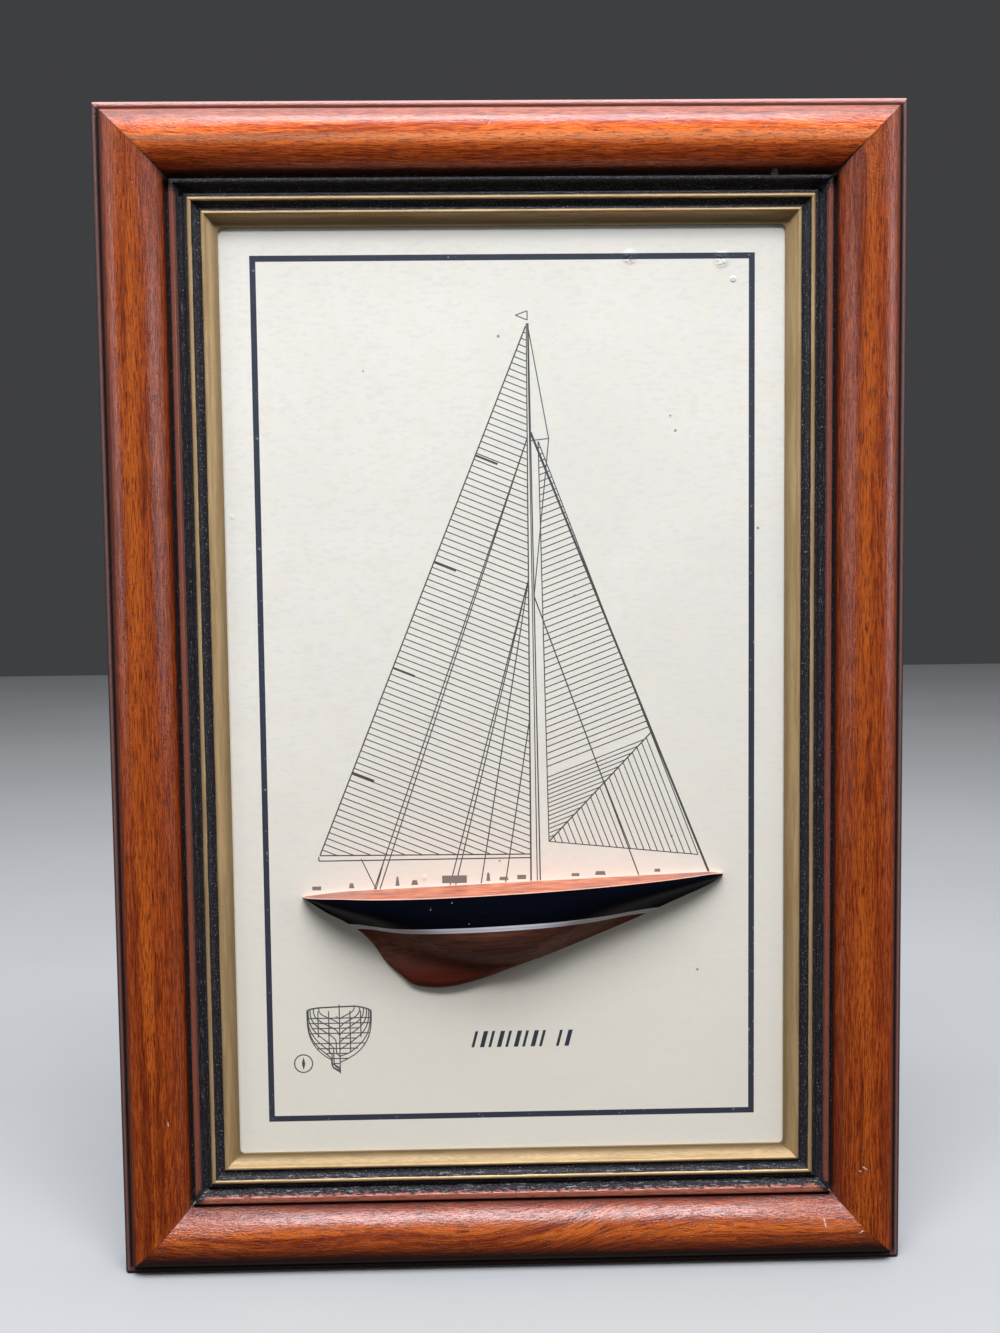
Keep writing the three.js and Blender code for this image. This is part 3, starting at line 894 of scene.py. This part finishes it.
# Half hull, in its own frame: along from the middle towards the bow, up from the deck line. In
# what follows, u is a share of its length, from 0 at the stern to 1 at the bow.
hull = {
    "length": 162.2,
    "depth": 39.6,
    "halfBeam": 17.3,
    "camber": 1.1,
    "tipBreadth": 1.2,
    "tipThickness": 0.4,
    "sternTip": {"drop": 1.2, "reach": 0.11},
    "bowTip": {"drop": 0.9, "from": 0.955},
    "centreRight": 1.3,
    "deckBelowCentre": 71.55,
    "trim": 2.23,
    "stations": 220,
    "sideSteps": 60,
    "deckSteps": 14,
    "backGap": 0.03,
    "plan": {"widest": 0.42, "aft": (2.8, 0.62), "fore": (2, 0.63)},  # the two powers of each curve
    "body": {"deepest": 0.47, "aft": 0.47, "fore": 0.6, "arch": 0.78, "least": 0.05,
             "fullness": 3.2, "middleFlare": 0.9, "endFlare": 1.7, "flareReach": 0.3},
    "fin": {"from": 0.17, "reach": 0.45, "least": 0.05, "swell": 0.22, "most": 0.6, "squareness": 22},
    "keelLine": [
        (0, 0.04), (0.0515, 0.199), (0.0935, 0.298), (0.1305, 0.406), (0.1475, 0.477),
        (0.1625, 0.552), (0.188, 0.719), (0.2225, 0.86), (0.2575, 0.969), (0.328, 1),
        (0.407, 0.943), (0.499, 0.829), (0.6045, 0.696), (0.701, 0.555), (0.797, 0.41),
        (0.8695, 0.289), (0.942, 0.1735), (0.978, 0.107), (1, 0.045)],
}


def smoothLine(points, steps):
    # a curve through all the points, with tangents from their neighbours
    points = np.asarray(points, float)
    last = len(points) - 1
    line = []
    for k in range(steps + 1):
        place = last * k / steps
        i = min(int(place), last - 1)
        t = place - i
        before, start, end, after = (points[n] for n in (max(i - 1, 0), i, i + 1, min(i + 2, last)))
        leave, arrive = (end - before) / 2, (after - start) / 2
        line.append((2 * start - 2 * end + leave + arrive) * t ** 3
                    + (-3 * start + 3 * end - 2 * leave - arrive) * t ** 2 + leave * t + start)
    return np.array(line)


keelCurve = smoothLine(hull["keelLine"], 400)


def keelDepth(u):
    return float(np.interp(u, keelCurve[:, 0], keelCurve[:, 1]))


def deckPlan(u, h):
    widest = h["plan"]["widest"]
    away = (widest - u) / widest if u < widest else (u - widest) / (1 - widest)
    inner, outer = h["plan"]["aft" if u < widest else "fore"]
    return max(0, 1 - away ** inner) ** outer


def bodyDepth(u, h):
    body = h["body"]
    away = abs(u - body["deepest"]) / body["aft" if u < body["deepest"] else "fore"]
    arch = body["arch"] * max(0, 1 - away ** 1.9) ** 0.9
    return min(keelDepth(u), max(arch, body["least"]))


def breadthAt(u, share, h):
    deck = h["tipBreadth"] + (h["halfBeam"] - h["tipBreadth"]) * deckPlan(u, h)
    rounding = min(1, share * keelDepth(u) / bodyDepth(u, h))
    body, fin = h["body"], h["fin"]
    towardsEnd = min(1, ((u - body["deepest"]) / body["flareReach"]) ** 2)
    flare = body["middleFlare"] + body["endFlare"] * towardsEnd
    ofBody = max(0, 1 - rounding ** body["fullness"]) ** flare
    along = min(max((u - fin["from"]) / fin["reach"], 0), 1)
    swell = fin["least"] + fin["swell"] * math.sin(math.pi * along) ** 0.8
    keel = h["halfBeam"] * swell * math.sqrt(max(0, 1 - share ** fin["squareness"]))
    return deck * ofBody + min(keel, deck * fin["most"]) * (1 - ofBody)


def tipDrop(u, h):
    stern, bow = h["sternTip"], h["bowTip"]
    aft = stern["drop"] * max(0, 1 - u / stern["reach"]) ** 1.5
    return aft + bow["drop"] * max(0, (u - bow["from"]) / (1 - bow["from"])) ** 2


def hullRow(u, h):
    # breadth and height of each point around one station, from the board over the deck to the keel
    crown = -tipDrop(u, h)
    halfDeck = breadthAt(u, 0, h)
    edge = crown - h["camber"] * (halfDeck / h["halfBeam"]) ** 2
    keel = min(-h["depth"] * keelDepth(u), edge - h["tipThickness"])
    row = []
    for j in range(h["deckSteps"]):
        t = j / h["deckSteps"]
        row.append((halfDeck * t, crown + (edge - crown) * t * t))
    for j in range(h["sideSteps"] + 1):
        share = math.sin(math.pi / 2 * j / h["sideSteps"])
        breadth = 0 if j == h["sideSteps"] else breadthAt(u, share, h)
        row.append((breadth, edge + (keel - edge) * share))
    return halfDeck, row


def hullMesh(h):
    trim = math.radians(h["trim"])
    points, place, fromEdge = [], [], []
    for i in range(h["stations"] + 1):
        u = (1 - math.cos(math.pi * i / h["stations"])) / 2
        along = (u - 0.5) * h["length"]
        halfDeck, row = hullRow(u, h)
        for breadth, up in row:
            x = along * math.cos(trim) - up * math.sin(trim) + h["centreRight"]
            z = along * math.sin(trim) + up * math.cos(trim) - h["deckBelowCentre"]
            points.append((x, -(boardFace + h["backGap"] + breadth), z + centreHeight))
            place.append((along, breadth, up))
            fromEdge.append(halfDeck - breadth)
    faceMaterials = [0] * h["deckSteps"] + [1] * (h["sideSteps"] + 1)
    faceMaterials = faceMaterials * h["stations"] + [1, 1]
    faces = tubeFaces(h["stations"] + 1, h["deckSteps"] + h["sideSteps"] + 1)
    return points, outward(points, faces), faceMaterials, {"place": place, "fromEdge": fromEdge}


hullFinish = {
    "stripeTop": 13.0,  # below the deck line
    "stripeWidth": 2.0,
    "topsides": (0.000851, 0.0016, 0.005),
    "stripe": (0.745, 0.7, 0.727),
    "stripeLine": (0.447, 0.42, 0.455),
    "bottom": (0.229, 0.085, 0.0509),
    "bottomRed": (0.092, 0.0125, 0.006),
    "bottomDark": (0.112, 0.048, 0.0327),
    "dust": (0.5, 0.5, 0.5),
    "deckLight": (0.638, 0.195, 0.0864),
    "deckMiddle": (0.362, 0.078, 0.0382),
    "deckDark": (0.213, 0.085, 0.0727),
    "deckVein": (0.138, 0.02, 0.0109),
    # pale edge lines of the deck: paler wood with a painted highlight
    "deckEdge": (0.787, 0.5, 0.391),
    "redLine": (0.319, 0.05, 0.0182),
}


def bottomColour(tree, place, along, depth, patches, values):
    # varnished wood that is redder low down aft and under the stripe
    grain = figureOf(tree, place, (0.06, 0.8, 0.8), 4, 0.6)
    bottom = blendColour(tree, ramp(tree, grain, 0.38, 0.62), values["bottomDark"], values["bottom"])
    lowAft = product(tree, ramp(tree, depth, 22, 35), ramp(tree, along, 8, -25))
    lowAft = product(tree, lowAft, ramp(tree, grain, 0.3, 0.6, 0.65, 1))
    under = product(tree, ramp(tree, depth, 21, 16, 0, 0.5), ramp(tree, patches, 0.35, 0.6))
    return blendColour(tree, maths(tree, "MAXIMUM", lowAft, under), bottom, values["bottomRed"])


def makeSideFinish(values):
    material, tree, shader = newMaterial("hull paint and varnish", {
        "Roughness": 0.6, "Specular IOR Level": 0.05, "Coat Weight": 0.13, "Coat Roughness": 0.3,
        "Coat IOR": 1.45})
    place = readAttribute(tree, "place")
    along, _, up = splitVector(tree, place)
    depth = product(tree, up, -1.0)
    patches = figureOf(tree, place, (0.03, 0.10, 0.12))
    bottom = bottomColour(tree, place, along, depth, patches, values)
    painted = maths(tree, "ADD", depth, around(tree, patches, 0.5, 0.35))
    stripeStart, stripeEnd = values["stripeTop"], values["stripeTop"] + values["stripeWidth"]
    fromMiddle = maths(tree, "SUBTRACT", painted, (stripeStart + stripeEnd) / 2)
    middle = ramp(tree, maths(tree, "ABSOLUTE", fromMiddle), 0.28, 0.08, 0, 0.6)
    colour = values["topsides"]
    for level, below in ((stripeStart, blendColour(tree, middle, values["stripe"], values["stripeLine"])),
                         (stripeEnd, bottom)):
        colour = blendColour(tree, ramp(tree, painted, level - 0.05, level + 0.05), colour, below)
    dust = ramp(tree, figureOf(tree, place, (0.5, 0.5, 0.5), 1), 0.815, 0.83, 0, 0.7)
    colour = blendColour(tree, dust, colour, values["dust"])
    normal = reliefOf(tree, [(figureOf(tree, place, (0.06, 0.2, 0.2)), 0.0003, 0.6),
                             (figureOf(tree, place, (0.7, 0.7, 0.7), 3), 0.00005, 0.6)])
    feed(tree, shader, colour=colour, normal=normal, coatNormal=normal)
    return material


def makeDeckFinish(values):
    material, tree, shader = newMaterial("deck wood", {
        "Roughness": 0.45, "Specular IOR Level": 0.3, "Coat Weight": 0.25, "Coat Roughness": 0.3})
    place = readAttribute(tree, "place")
    fromEdge = readAttribute(tree, "fromEdge", "Fac")
    along, fromBoard, _ = splitVector(tree, place)
    grain = figureOf(tree, place, (0.10, 1.1, 0.3), 4, 0.65, 0.5)
    broad = figureOf(tree, place, (0.05, 0.25, 0.1))
    veins = figureOf(tree, place, (0.07, 1.6, 0.4), 3, 0.6, 0.8)
    colour = blendColour(tree, ramp(tree, grain, 0.36, 0.60), values["deckMiddle"], values["deckLight"])
    colour = blendColour(tree, ramp(tree, broad, 0.46, 0.62, 0, 0.6), colour, values["deckDark"])
    colour = blendColour(tree, ramp(tree, veins, 0.53, 0.62, 0, 0.8), colour, values["deckVein"])
    ends = ramp(tree, maths(tree, "ABSOLUTE", along), 38, 78, 0, 0.75)
    colour = blendColour(tree, ends, colour, values["deckDark"])
    uneven = product(tree, grain, 0.8)
    # pale lines along both edges of the deck: paler wood with a painted highlight where the edges catch the
    # light
    edge = ramp(tree, maths(tree, "ADD", fromEdge, uneven), 1.6, 0.9, 0, 0.85)
    inner = ramp(tree, maths(tree, "ADD", fromBoard, uneven), 1.7, 0.9, 0, 0.85)
    colour = blendColour(tree, maths(tree, "MAXIMUM", edge, inner), colour, values["deckEdge"])
    colour = blendColour(tree, ramp(tree, fromEdge, 0.30, 0.12, 0, 0.9), colour, values["redLine"])
    feed(tree, shader, colour=colour, normal=reliefOf(tree, [(grain, 0.00012, 0.6)]))
    return material


points, faces, faceMaterials, attributes = hullMesh(hull)
halfHull = makePiece("carved_half_hull", points, faces,
                     [makeDeckFinish(hullFinish), makeSideFinish(hullFinish)],
                     faceMaterials, attributes, 50)
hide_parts("half_hull")
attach(halfHull, "root")
print("half hull has %d faces" % len(faces))

# Print on the board. Places are millimetres from the middle of the frame, to the right and up.
# Light, medium and bold lines are so many times as wide as the thin one.
printing = {
    "border": {"left": -94.6, "right": 94.75, "low": -164.7, "high": 166.6, "width": 2.25},
    "line": 0.40,
    "light": 1.1,
    "medium": 1.2,
    "bold": 1.3,
    "heavyLine": 0.85,
    "mast": {"foot": (10.1, -72.6), "head": (8.9, 141.0), "footWidth": 3.6, "headWidth": 0.7,
             "lines": ((-1, 1.6), (0.35, 1), (1, 1.3))},  # side and weight of each line along it
    # the peak is given from the head of the mast, and battens are shares of the sail's after edge
    "mainsail": {"clew": (-72.8, -60.2), "tackDrop": 0.6, "peak": (-0.6, -1.0), "spacing": 2.42,
                 "battens": (0.16, 0.36, 0.56, 0.76), "battenLength": 9},
    "boom": {"aft": (-0.5, -0.4), "low": (-0.4, -2.1), "fore": (0, -1.4)},  # from the sail's corners
    "tackle": {"aft": -57.0, "deck": -51.5, "fore": -48.0, "drop": 1.5},
    # seams are wider apart in the middle and lower parts, by so many times
    "headsail": {"head": (12.6, 97.0), "tack": (73.0, -62.0), "mitreLow": (15.4, -56.0),
                 "mitreShare": 0.70, "spacing": 2.36, "middleSpacing": 1.5, "lowSpacing": 1.1},
    "forestay": {"top": 0.81, "pastTack": (4.2, -7.0)},
    # share of the mast's height that each stay starts from, and where it meets the deck
    "stays": ((0.80, -50.0), (0.80, -52.2), (0.55, -23.0), (0.55, -20.8), (0.55, -11.0), (0.30, -1.5)),
    "innerStay": (0.52, 50.0),
    "spreader": {"tip": (16.6, 98.0), "root": 0.795},
    "flag": ((0, 1.2), (0, 4.6), (-4.4, 3.0)),  # its corners from the head of the mast
    # where each fitting on the deck starts, its width, its height and how far its sides lean
    "fittings": ((-76, 3.4, 1.5, 0), (-62, 2.2, 2.0, 0.5), (-44, 1.6, 3.6, 0.5), (-38, 2.8, 1.9, 0.6),
                 (-26, 9.5, 3.0, 0), (-9, 1.6, 3.2, 0.4), (-4, 3.6, 1.3, 0.3), (3, 3.4, 1.7, 0),
                 (24, 3.0, 1.2, 0), (33, 4.2, 1.5, 0.4), (56, 2.4, 1.2, 0.2)),
    "fittingLift": 0.9,
    "title": {"left": -15.6, "right": 25.6, "low": -136.6, "high": -130.2, "strokes": 12, "lean": 1.7,
              "gapAt": 9, "widths": (1.1, 1.7)},
    "sections": {"middle": -66.6, "top": -118.6, "low": -146.4, "width": 25.0, "sheer": 3.0,
                 "sheerMiddle": 0.45, "sheerRise": 1.6, "depthShare": 0.88, "steps": 14,
                 "stern": (0.08, 0.14, 0.20, 0.26, 0.32, 0.38, 0.44),
                 "bow": (0.50, 0.57, 0.64, 0.71, 0.78, 0.85, 0.92),
                 "lowestLevel": 4, "levelGap": 2, "shortestLevel": 0.8,
                 "uprights": (0, -0.33, -0.66, 0.33, 0.66), "uprightFoot": 0.4, "uprightRise": 20},
    "mark": {"middle": (-80.8, -141.8), "radius": 3.5, "needle": 0.75, "needleWidth": 0.7},
}


def ribbon(start, end, width, endWidth=None):
    start, end = np.asarray(start, float), np.asarray(end, float)
    direction = end - start
    side = np.array([-direction[1], direction[0]]) / max(np.hypot(*direction), 1e-9)
    a, b = width / 2, (width if endWidth is None else endWidth) / 2
    return [start - side * a, end - side * b, end + side * b, start + side * a]


def ribbonLine(points, width):
    return [ribbon(a, b, width) for a, b in zip(points[:-1], points[1:])]


def rectangle(left, low, right, high):
    return [(left, low), (right, low), (right, high), (left, high)]


def crossings(polygon, origin, direction):
    # where a line through a convex polygon enters and leaves it
    found = []
    for a, b in zip(polygon, polygon[1:] + polygon[:1]):
        a, b = np.asarray(a, float), np.asarray(b, float)
        side = b - a
        scale = direction[0] * side[1] - direction[1] * side[0]
        if abs(scale) < 1e-9:
            continue
        away = a - origin
        t = (away[0] * side[1] - away[1] * side[0]) / scale
        share = (away[0] * direction[1] - away[1] * direction[0]) / scale
        if -1e-9 <= share <= 1 + 1e-9:
            found.append(t)
    return (origin + direction * min(found), origin + direction * max(found)) if len(found) > 1 else None


def hatching(polygon, start, end, direction, spacing, width):
    # parallel seams across a polygon, set out along a line from start to end
    count = int(np.hypot(*(end - start)) / spacing)
    shapes = []
    for i in range(1, count):
        ends = crossings(polygon, start + (end - start) * i / count, direction)
        if ends is not None and np.hypot(*(ends[1] - ends[0])) > 0.8:
            shapes.append(ribbon(*ends, width))
    return shapes


def squareTo(start, end):
    run = end - start
    return np.array([run[1], -run[0]]) / np.hypot(*run)


def deckLine(x):
    return -hull["deckBelowCentre"] + (x - hull["centreRight"]) * math.tan(math.radians(hull["trim"]))


def onMast(mast, share, side=0.0):
    # a place a share of the way up the mast, on its left edge for a side of -1, its right for 1
    foot, head = np.array(mast["foot"]), np.array(mast["head"])
    half = mast["footWidth"] / 2
    reach = half + (mast["headWidth"] / 2 - half) * share
    return foot + (head - foot) * share + (side * reach, 0)


def mainsailDrawing(p):
    line, mast, sail = p["line"], p["mast"], p["mainsail"]
    shapes = [ribbon(onMast(mast, 0, side), onMast(mast, 1, side), line * weight, line)
              for side, weight in mast["lines"]]
    clew = np.array(sail["clew"])
    tack = np.array([mast["foot"][0] - mast["footWidth"] / 2, clew[1] - sail["tackDrop"]])
    peak = np.array(mast["head"]) + sail["peak"]
    shapes += [ribbon(clew, peak, line * p["bold"]), ribbon(clew, tack, line * p["medium"])]
    seam = squareTo(clew, peak)
    shapes += hatching([clew, tack, peak], clew, peak, seam, sail["spacing"], line)
    for share in sail["battens"]:
        start = clew + (peak - clew) * share
        shapes.append(ribbon(start, start + seam * sail["battenLength"], p["heavyLine"]))
    # the boom with its tackle below
    boom, tackle = p["boom"], p["tackle"]
    high, low = clew[1] - tackle["drop"], deckLine(tackle["deck"])
    shapes += ribbonLine([clew + boom["aft"], clew + boom["low"], tack + boom["fore"]], line * p["medium"])
    return shapes + ribbonLine([(tackle["aft"], high), (tackle["deck"], low), (tackle["fore"], high)], line)


def headsailDrawing(p):
    # a sail cut in two panels, with seams square to the luff above and along it below
    line, sail = p["line"], p["headsail"]
    top, low, mitre = (np.array(sail[name]) for name in ("head", "tack", "mitreLow"))
    onLuff = top + (low - top) * sail["mitreShare"]
    stay = p["forestay"]
    shapes = [ribbon(onMast(p["mast"], stay["top"], 1), low + stay["pastTack"], p["heavyLine"])]
    upper, lower, seam = [top, onLuff, mitre], [mitre, onLuff, low], squareTo(top, low)
    steep = (low - top) / np.hypot(*(low - top))
    for panel, start, end, direction, pace in ((upper, top, onLuff, seam, 1),
                                               (upper, onLuff, mitre, seam, sail["middleSpacing"]),
                                               (lower, mitre, onLuff, steep, sail["lowSpacing"])):
        shapes += hatching(panel, start, end, direction, sail["spacing"] * pace, line)
    for a, b, weight in ((top, mitre, 1), (mitre, onLuff, p["bold"]), (mitre, low, 1), (top, low, 1)):
        shapes.append(ribbon(a, b, line * weight))
    return shapes


def rigging(p):
    line, mast = p["line"], p["mast"]
    head, spreader = np.array(mast["head"]), p["spreader"]["tip"]
    shapes = [ribbon(onMast(mast, share, -1), (place, deckLine(place)), line * p["light"])
              for share, place in p["stays"]]
    share, place = p["innerStay"]
    shapes.append(ribbon(onMast(mast, share, 1), (place, deckLine(place)), line * p["medium"]))
    shapes += ribbonLine([head, spreader, onMast(mast, share, 1)], line)
    shapes.append(ribbon(onMast(mast, p["spreader"]["root"]), spreader, line))
    return shapes + ribbonLine([head + corner for corner in p["flag"] + p["flag"][:1]], line)


def deckFittings(p):
    # plain hatches, posts and low houses along the deck, such as any yacht carries
    shapes = []
    for x, wide, tall, slope in p["fittings"]:
        low = deckLine(x) + p["fittingLift"]
        shapes.append([(x, low), (x + wide, low), (x + wide - slope, low + tall), (x + slope, low + tall)])
    return shapes


def sectionCurve(s, side, u):
    # one of the hull's own sections, from the sheer down to the keel
    scale = s["width"] / 2 / hull["halfBeam"]
    tall = s["depthShare"] * (s["top"] - s["low"])
    sheer = s["top"] - s["sheer"] + s["sheer"] * abs(u - s["sheerMiddle"]) * s["sheerRise"]
    shares = [k / s["steps"] for k in range(s["steps"] + 1)]
    return [(s["middle"] + side * scale * breadthAt(u, share, hull), sheer - share * keelDepth(u) * tall)
            for share in shares]


def sectionsDrawing(p):
    # the sections of the stern half to the left and of the bow half to the right
    s = p["sections"]
    middle, line = s["middle"], p["line"] * p["light"]
    shapes, tops, outline = [], [], {}
    for side, stations in ((-1, s["stern"]), (1, s["bow"])):
        for u in stations:
            curve = sectionCurve(s, side, u)
            shapes += ribbonLine(curve, line)
            tops.append(curve[0])
            for x, z in curve:
                outline[side, round(z)] = max(outline.get((side, round(z)), 0), abs(x - middle))
    shapes += ribbonLine(sorted(tops), line * p["bold"])
    lowest, highest = round(s["low"]) + s["lowestLevel"], round(s["top"] - s["sheer"])
    for level in range(lowest, highest, s["levelGap"]):
        for side in (-1, 1):
            reach = min(outline.get((side, level), 0), outline.get((side, level + 1), 99))
            if reach > s["shortestLevel"]:
                shapes.append(ribbon((middle, level), (middle + side * reach, level), line))
    for share in s["uprights"]:
        x = middle + share * s["width"] / 2
        low = s["low"] + s["uprightFoot"] + s["uprightRise"] * abs(share) ** 0.8
        high = s["top"] - s["sheer"] * (0.85 if share else 0)
        shapes.append(ribbon((x, high), (x, low), line))
    return shapes


def plainMark(p):
    # a small ring with a needle, as on a chart
    mark = p["mark"]
    middle, radius = np.array(mark["middle"]), mark["radius"]
    angles = np.radians(np.arange(0, 361, 15))
    ring = [middle + radius * np.array([math.cos(a), math.sin(a)]) for a in angles]
    tip, side = radius * mark["needle"], mark["needleWidth"]
    needle = [middle + corner for corner in ((0, tip), (-side, 0), (0, -tip), (side, 0))]
    return ribbonLine(ring, p["line"] * p["medium"]) + [needle]


def titleStrokes(p):
    # a row of leaning strokes, alternately thin and bold, with a gap
    t = p["title"]
    low, high, lean = t["low"], t["high"], t["lean"]
    pace = (t["right"] - t["left"] - lean) / t["strokes"]
    shapes = []
    for i in range(t["strokes"]):
        x = t["left"] + i * pace
        end = x + t["widths"][i % 2]
        if i != t["gapAt"]:
            shapes.append([(x, low), (end, low), (end + lean, high), (x + lean, high)])
    return shapes


def borderShapes(p):
    b = p["border"]
    left, right, low, high, width = b["left"], b["right"], b["low"], b["high"], b["width"]
    return [rectangle(left, low, right, low + width), rectangle(left, high - width, right, high),
            rectangle(left, low, left + width, high), rectangle(right - width, low, right, high)]


def printedBoard(p):
    # the board's face is cut along the print, so that the ink lies flush with the paper
    half = boardHigh.x / millimetre
    low, high = boardLow.z / millimetre - centreHeight, boardHigh.z / millimetre - centreHeight
    boardCorners = rectangle(-half, low, half, high)
    drawing = mainsailDrawing(p) + headsailDrawing(p) + rigging(p) + sectionsDrawing(p) + plainMark(p)
    corners = [Vector(corner) for corner in boardCorners]
    outlines, inks = [[0, 1, 2, 3]], [0]
    for ink, shapes in ((1, drawing), (3, deckFittings(p)), (2, borderShapes(p) + titleStrokes(p))):
        for shape in shapes:
            first = len(corners)
            area = sum(a[0] * b[1] - b[0] * a[1] for a, b in zip(shape, shape[1:] + shape[:1]))
            shape = shape if area > 0 else shape[::-1]
            corners += [Vector((float(x), float(z))) for x, z in shape]
            outlines.append(list(range(first, len(corners))))
            inks.append(ink)
    flat, _, triangles, _, _, origins = delaunay_2d_cdt(corners, [], outlines, 1, 1e-6, True)
    points = [(v.x, -boardFace, v.y + centreHeight) for v in flat]
    faces = [list(reversed(triangle)) for triangle in triangles]
    faceMaterials = [max((inks[k] for k in names), default=0) for names in origins]
    front = [min(range(len(flat)), key=lambda i: math.dist(flat[i], corner)) for corner in boardCorners]
    back = len(points)
    thick = (boardHigh.y - boardLow.y) / millimetre
    points += [(x, -boardFace + thick, z + centreHeight) for x, z in boardCorners]
    for k in range(4):
        after = (k + 1) % 4
        faces.append([front[k], front[after], back + after, back + k])
    faces.append([back + k for k in (3, 2, 1, 0)])
    return points, faces, faceMaterials + [0] * 5


boardColours = {
    "paper": (0.835, 0.778, 0.675),
    "drawingInk": (0.083, 0.076, 0.0755),
    "fittingInk": (0.213, 0.185, 0.168),
    "borderInk": (0.0383, 0.043, 0.0636),
    "worn": (0.426, 0.4, 0.382),
    "speck": (0.106, 0.09, 0.0818),
    # what the patches, the lower edge, the painted shade under the upper edge and the fibres multiply a
    # colour by
    "warm": (1, 0.965, 0.91),
    "lowerEdgeTint": (0.94, 0.905, 0.85),
    "topEdgeShade": (0.80,),
    "grey": (0.88,),
    "lowerTintBand": (90, 5),  # darker and warmer towards the lower edge: starts above the middle of the frame, full above the board's lower edge
    "topEdgeShadeBand": (14, 5.5),  # painted shade under the frame's upper edge: where it starts and where it is full, below the board's upper edge
    "wrinkles": ((47.7, 165.2, 3.4), (82.3, 164.0, 3.8), (86.6, 156.8, 1.5)),  # right, up, radius
}


def wrinkleHeight(tree, place, wrinkle):
    right, up, radius = wrinkle
    middle = (right * millimetre, -boardFace * millimetre, (up + centreHeight) * millimetre)
    away = addNode(tree, "ShaderNodeVectorMath", {0: place, 1: middle}, operation="DISTANCE")
    raised = ramp(tree, away.outputs["Value"], radius * millimetre, radius * 0.3 * millimetre)
    return product(tree, raised, noiseOf(tree, place, 900.0, 2))


def makePaper(name, colour, colours, shade=0.85, speckle=0.0):
    material, tree, shader = newMaterial(name, {"Roughness": 0.5, "Specular IOR Level": 0.35})
    place = objectPlace(tree)
    height = splitVector(tree, place)[2]
    fibre = figureOf(tree, place, (260, 260, 700), 4, 0.6)
    smudge = figureOf(tree, place, (30, 30, 48), 4, 0.65)
    patches, wear = noiseOf(tree, place, 95.0, 3, 0.6), noiseOf(tree, place, 650.0, 2)
    lowerTintStart = (centreHeight + colours["lowerTintBand"][0]) * millimetre
    lowerTintEnd = boardLow.z + colours["lowerTintBand"][1] * millimetre
    topShadeStart, topShadeEnd = (boardHigh.z - distance * millimetre for distance in colours["topEdgeShadeBand"])
    tints = {key: shaded(colour, *colours[key]) for key in ("warm", "lowerEdgeTint", "topEdgeShade", "grey")}
    tints.update(worn=colours["worn"], speck=colours["speck"])
    clouds = ramp(tree, noiseOf(tree, place, 9.0, 4, 0.55), 0.36, 0.62)
    base = blendColour(tree, clouds, shaded(colour, shade), colour)
    # warm patches, a darker and warmer lower edge, painted shade under the upper edge, and fibres that lie
    # across
    for tint, share in (("warm", ramp(tree, patches, 0.42, 0.64, 0, 0.55)),
                        ("lowerEdgeTint", ramp(tree, height, lowerTintStart, lowerTintEnd)),
                        ("topEdgeShade", ramp(tree, height, topShadeStart, topShadeEnd, 0, 0.8)),
                        ("grey", ramp(tree, fibre, 0.52, 0.34, 0, 0.5)),
                        ("grey", ramp(tree, smudge, 0.60, 0.75, 0, 0.35)),
                        ("worn", ramp(tree, wear, 0.66, 0.74, 0, speckle)),
                        ("speck", ramp(tree, cellsOf(tree, place, 62.0), 0.044, 0.026, 0, 0.7))):
        base = blendColour(tree, share, base, tints[tint])
    pimples = ramp(tree, cellsOf(tree, place, 38.0), 0.060, 0.0)
    layers = [(fibre, 0.00006, 0.6), (noiseOf(tree, place, 45.0, 3), 0.0004, 0.5), (pimples, 0.0003, 0.6)]
    layers += [(wrinkleHeight(tree, place, wrinkle), 0.0008, 0.8) for wrinkle in colours["wrinkles"]]
    feed(tree, shader, colour=base, normal=reliefOf(tree, layers))
    return material


boardInks = [makePaper("printed paper", boardColours["paper"], boardColours, 0.95),
             makePaper("grey ink", boardColours["drawingInk"], boardColours),
             makePaper("dark blue ink", boardColours["borderInk"], boardColours, 0.8, 0.5),
             makePaper("pale grey ink", boardColours["fittingInk"], boardColours)]
points, faces, faceMaterials = printedBoard(printing)
board = makePiece("board_with_print", points, faces, boardInks, faceMaterials)
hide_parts("printed_board")
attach(board, "root")
print("board has %d faces" % len(faces))
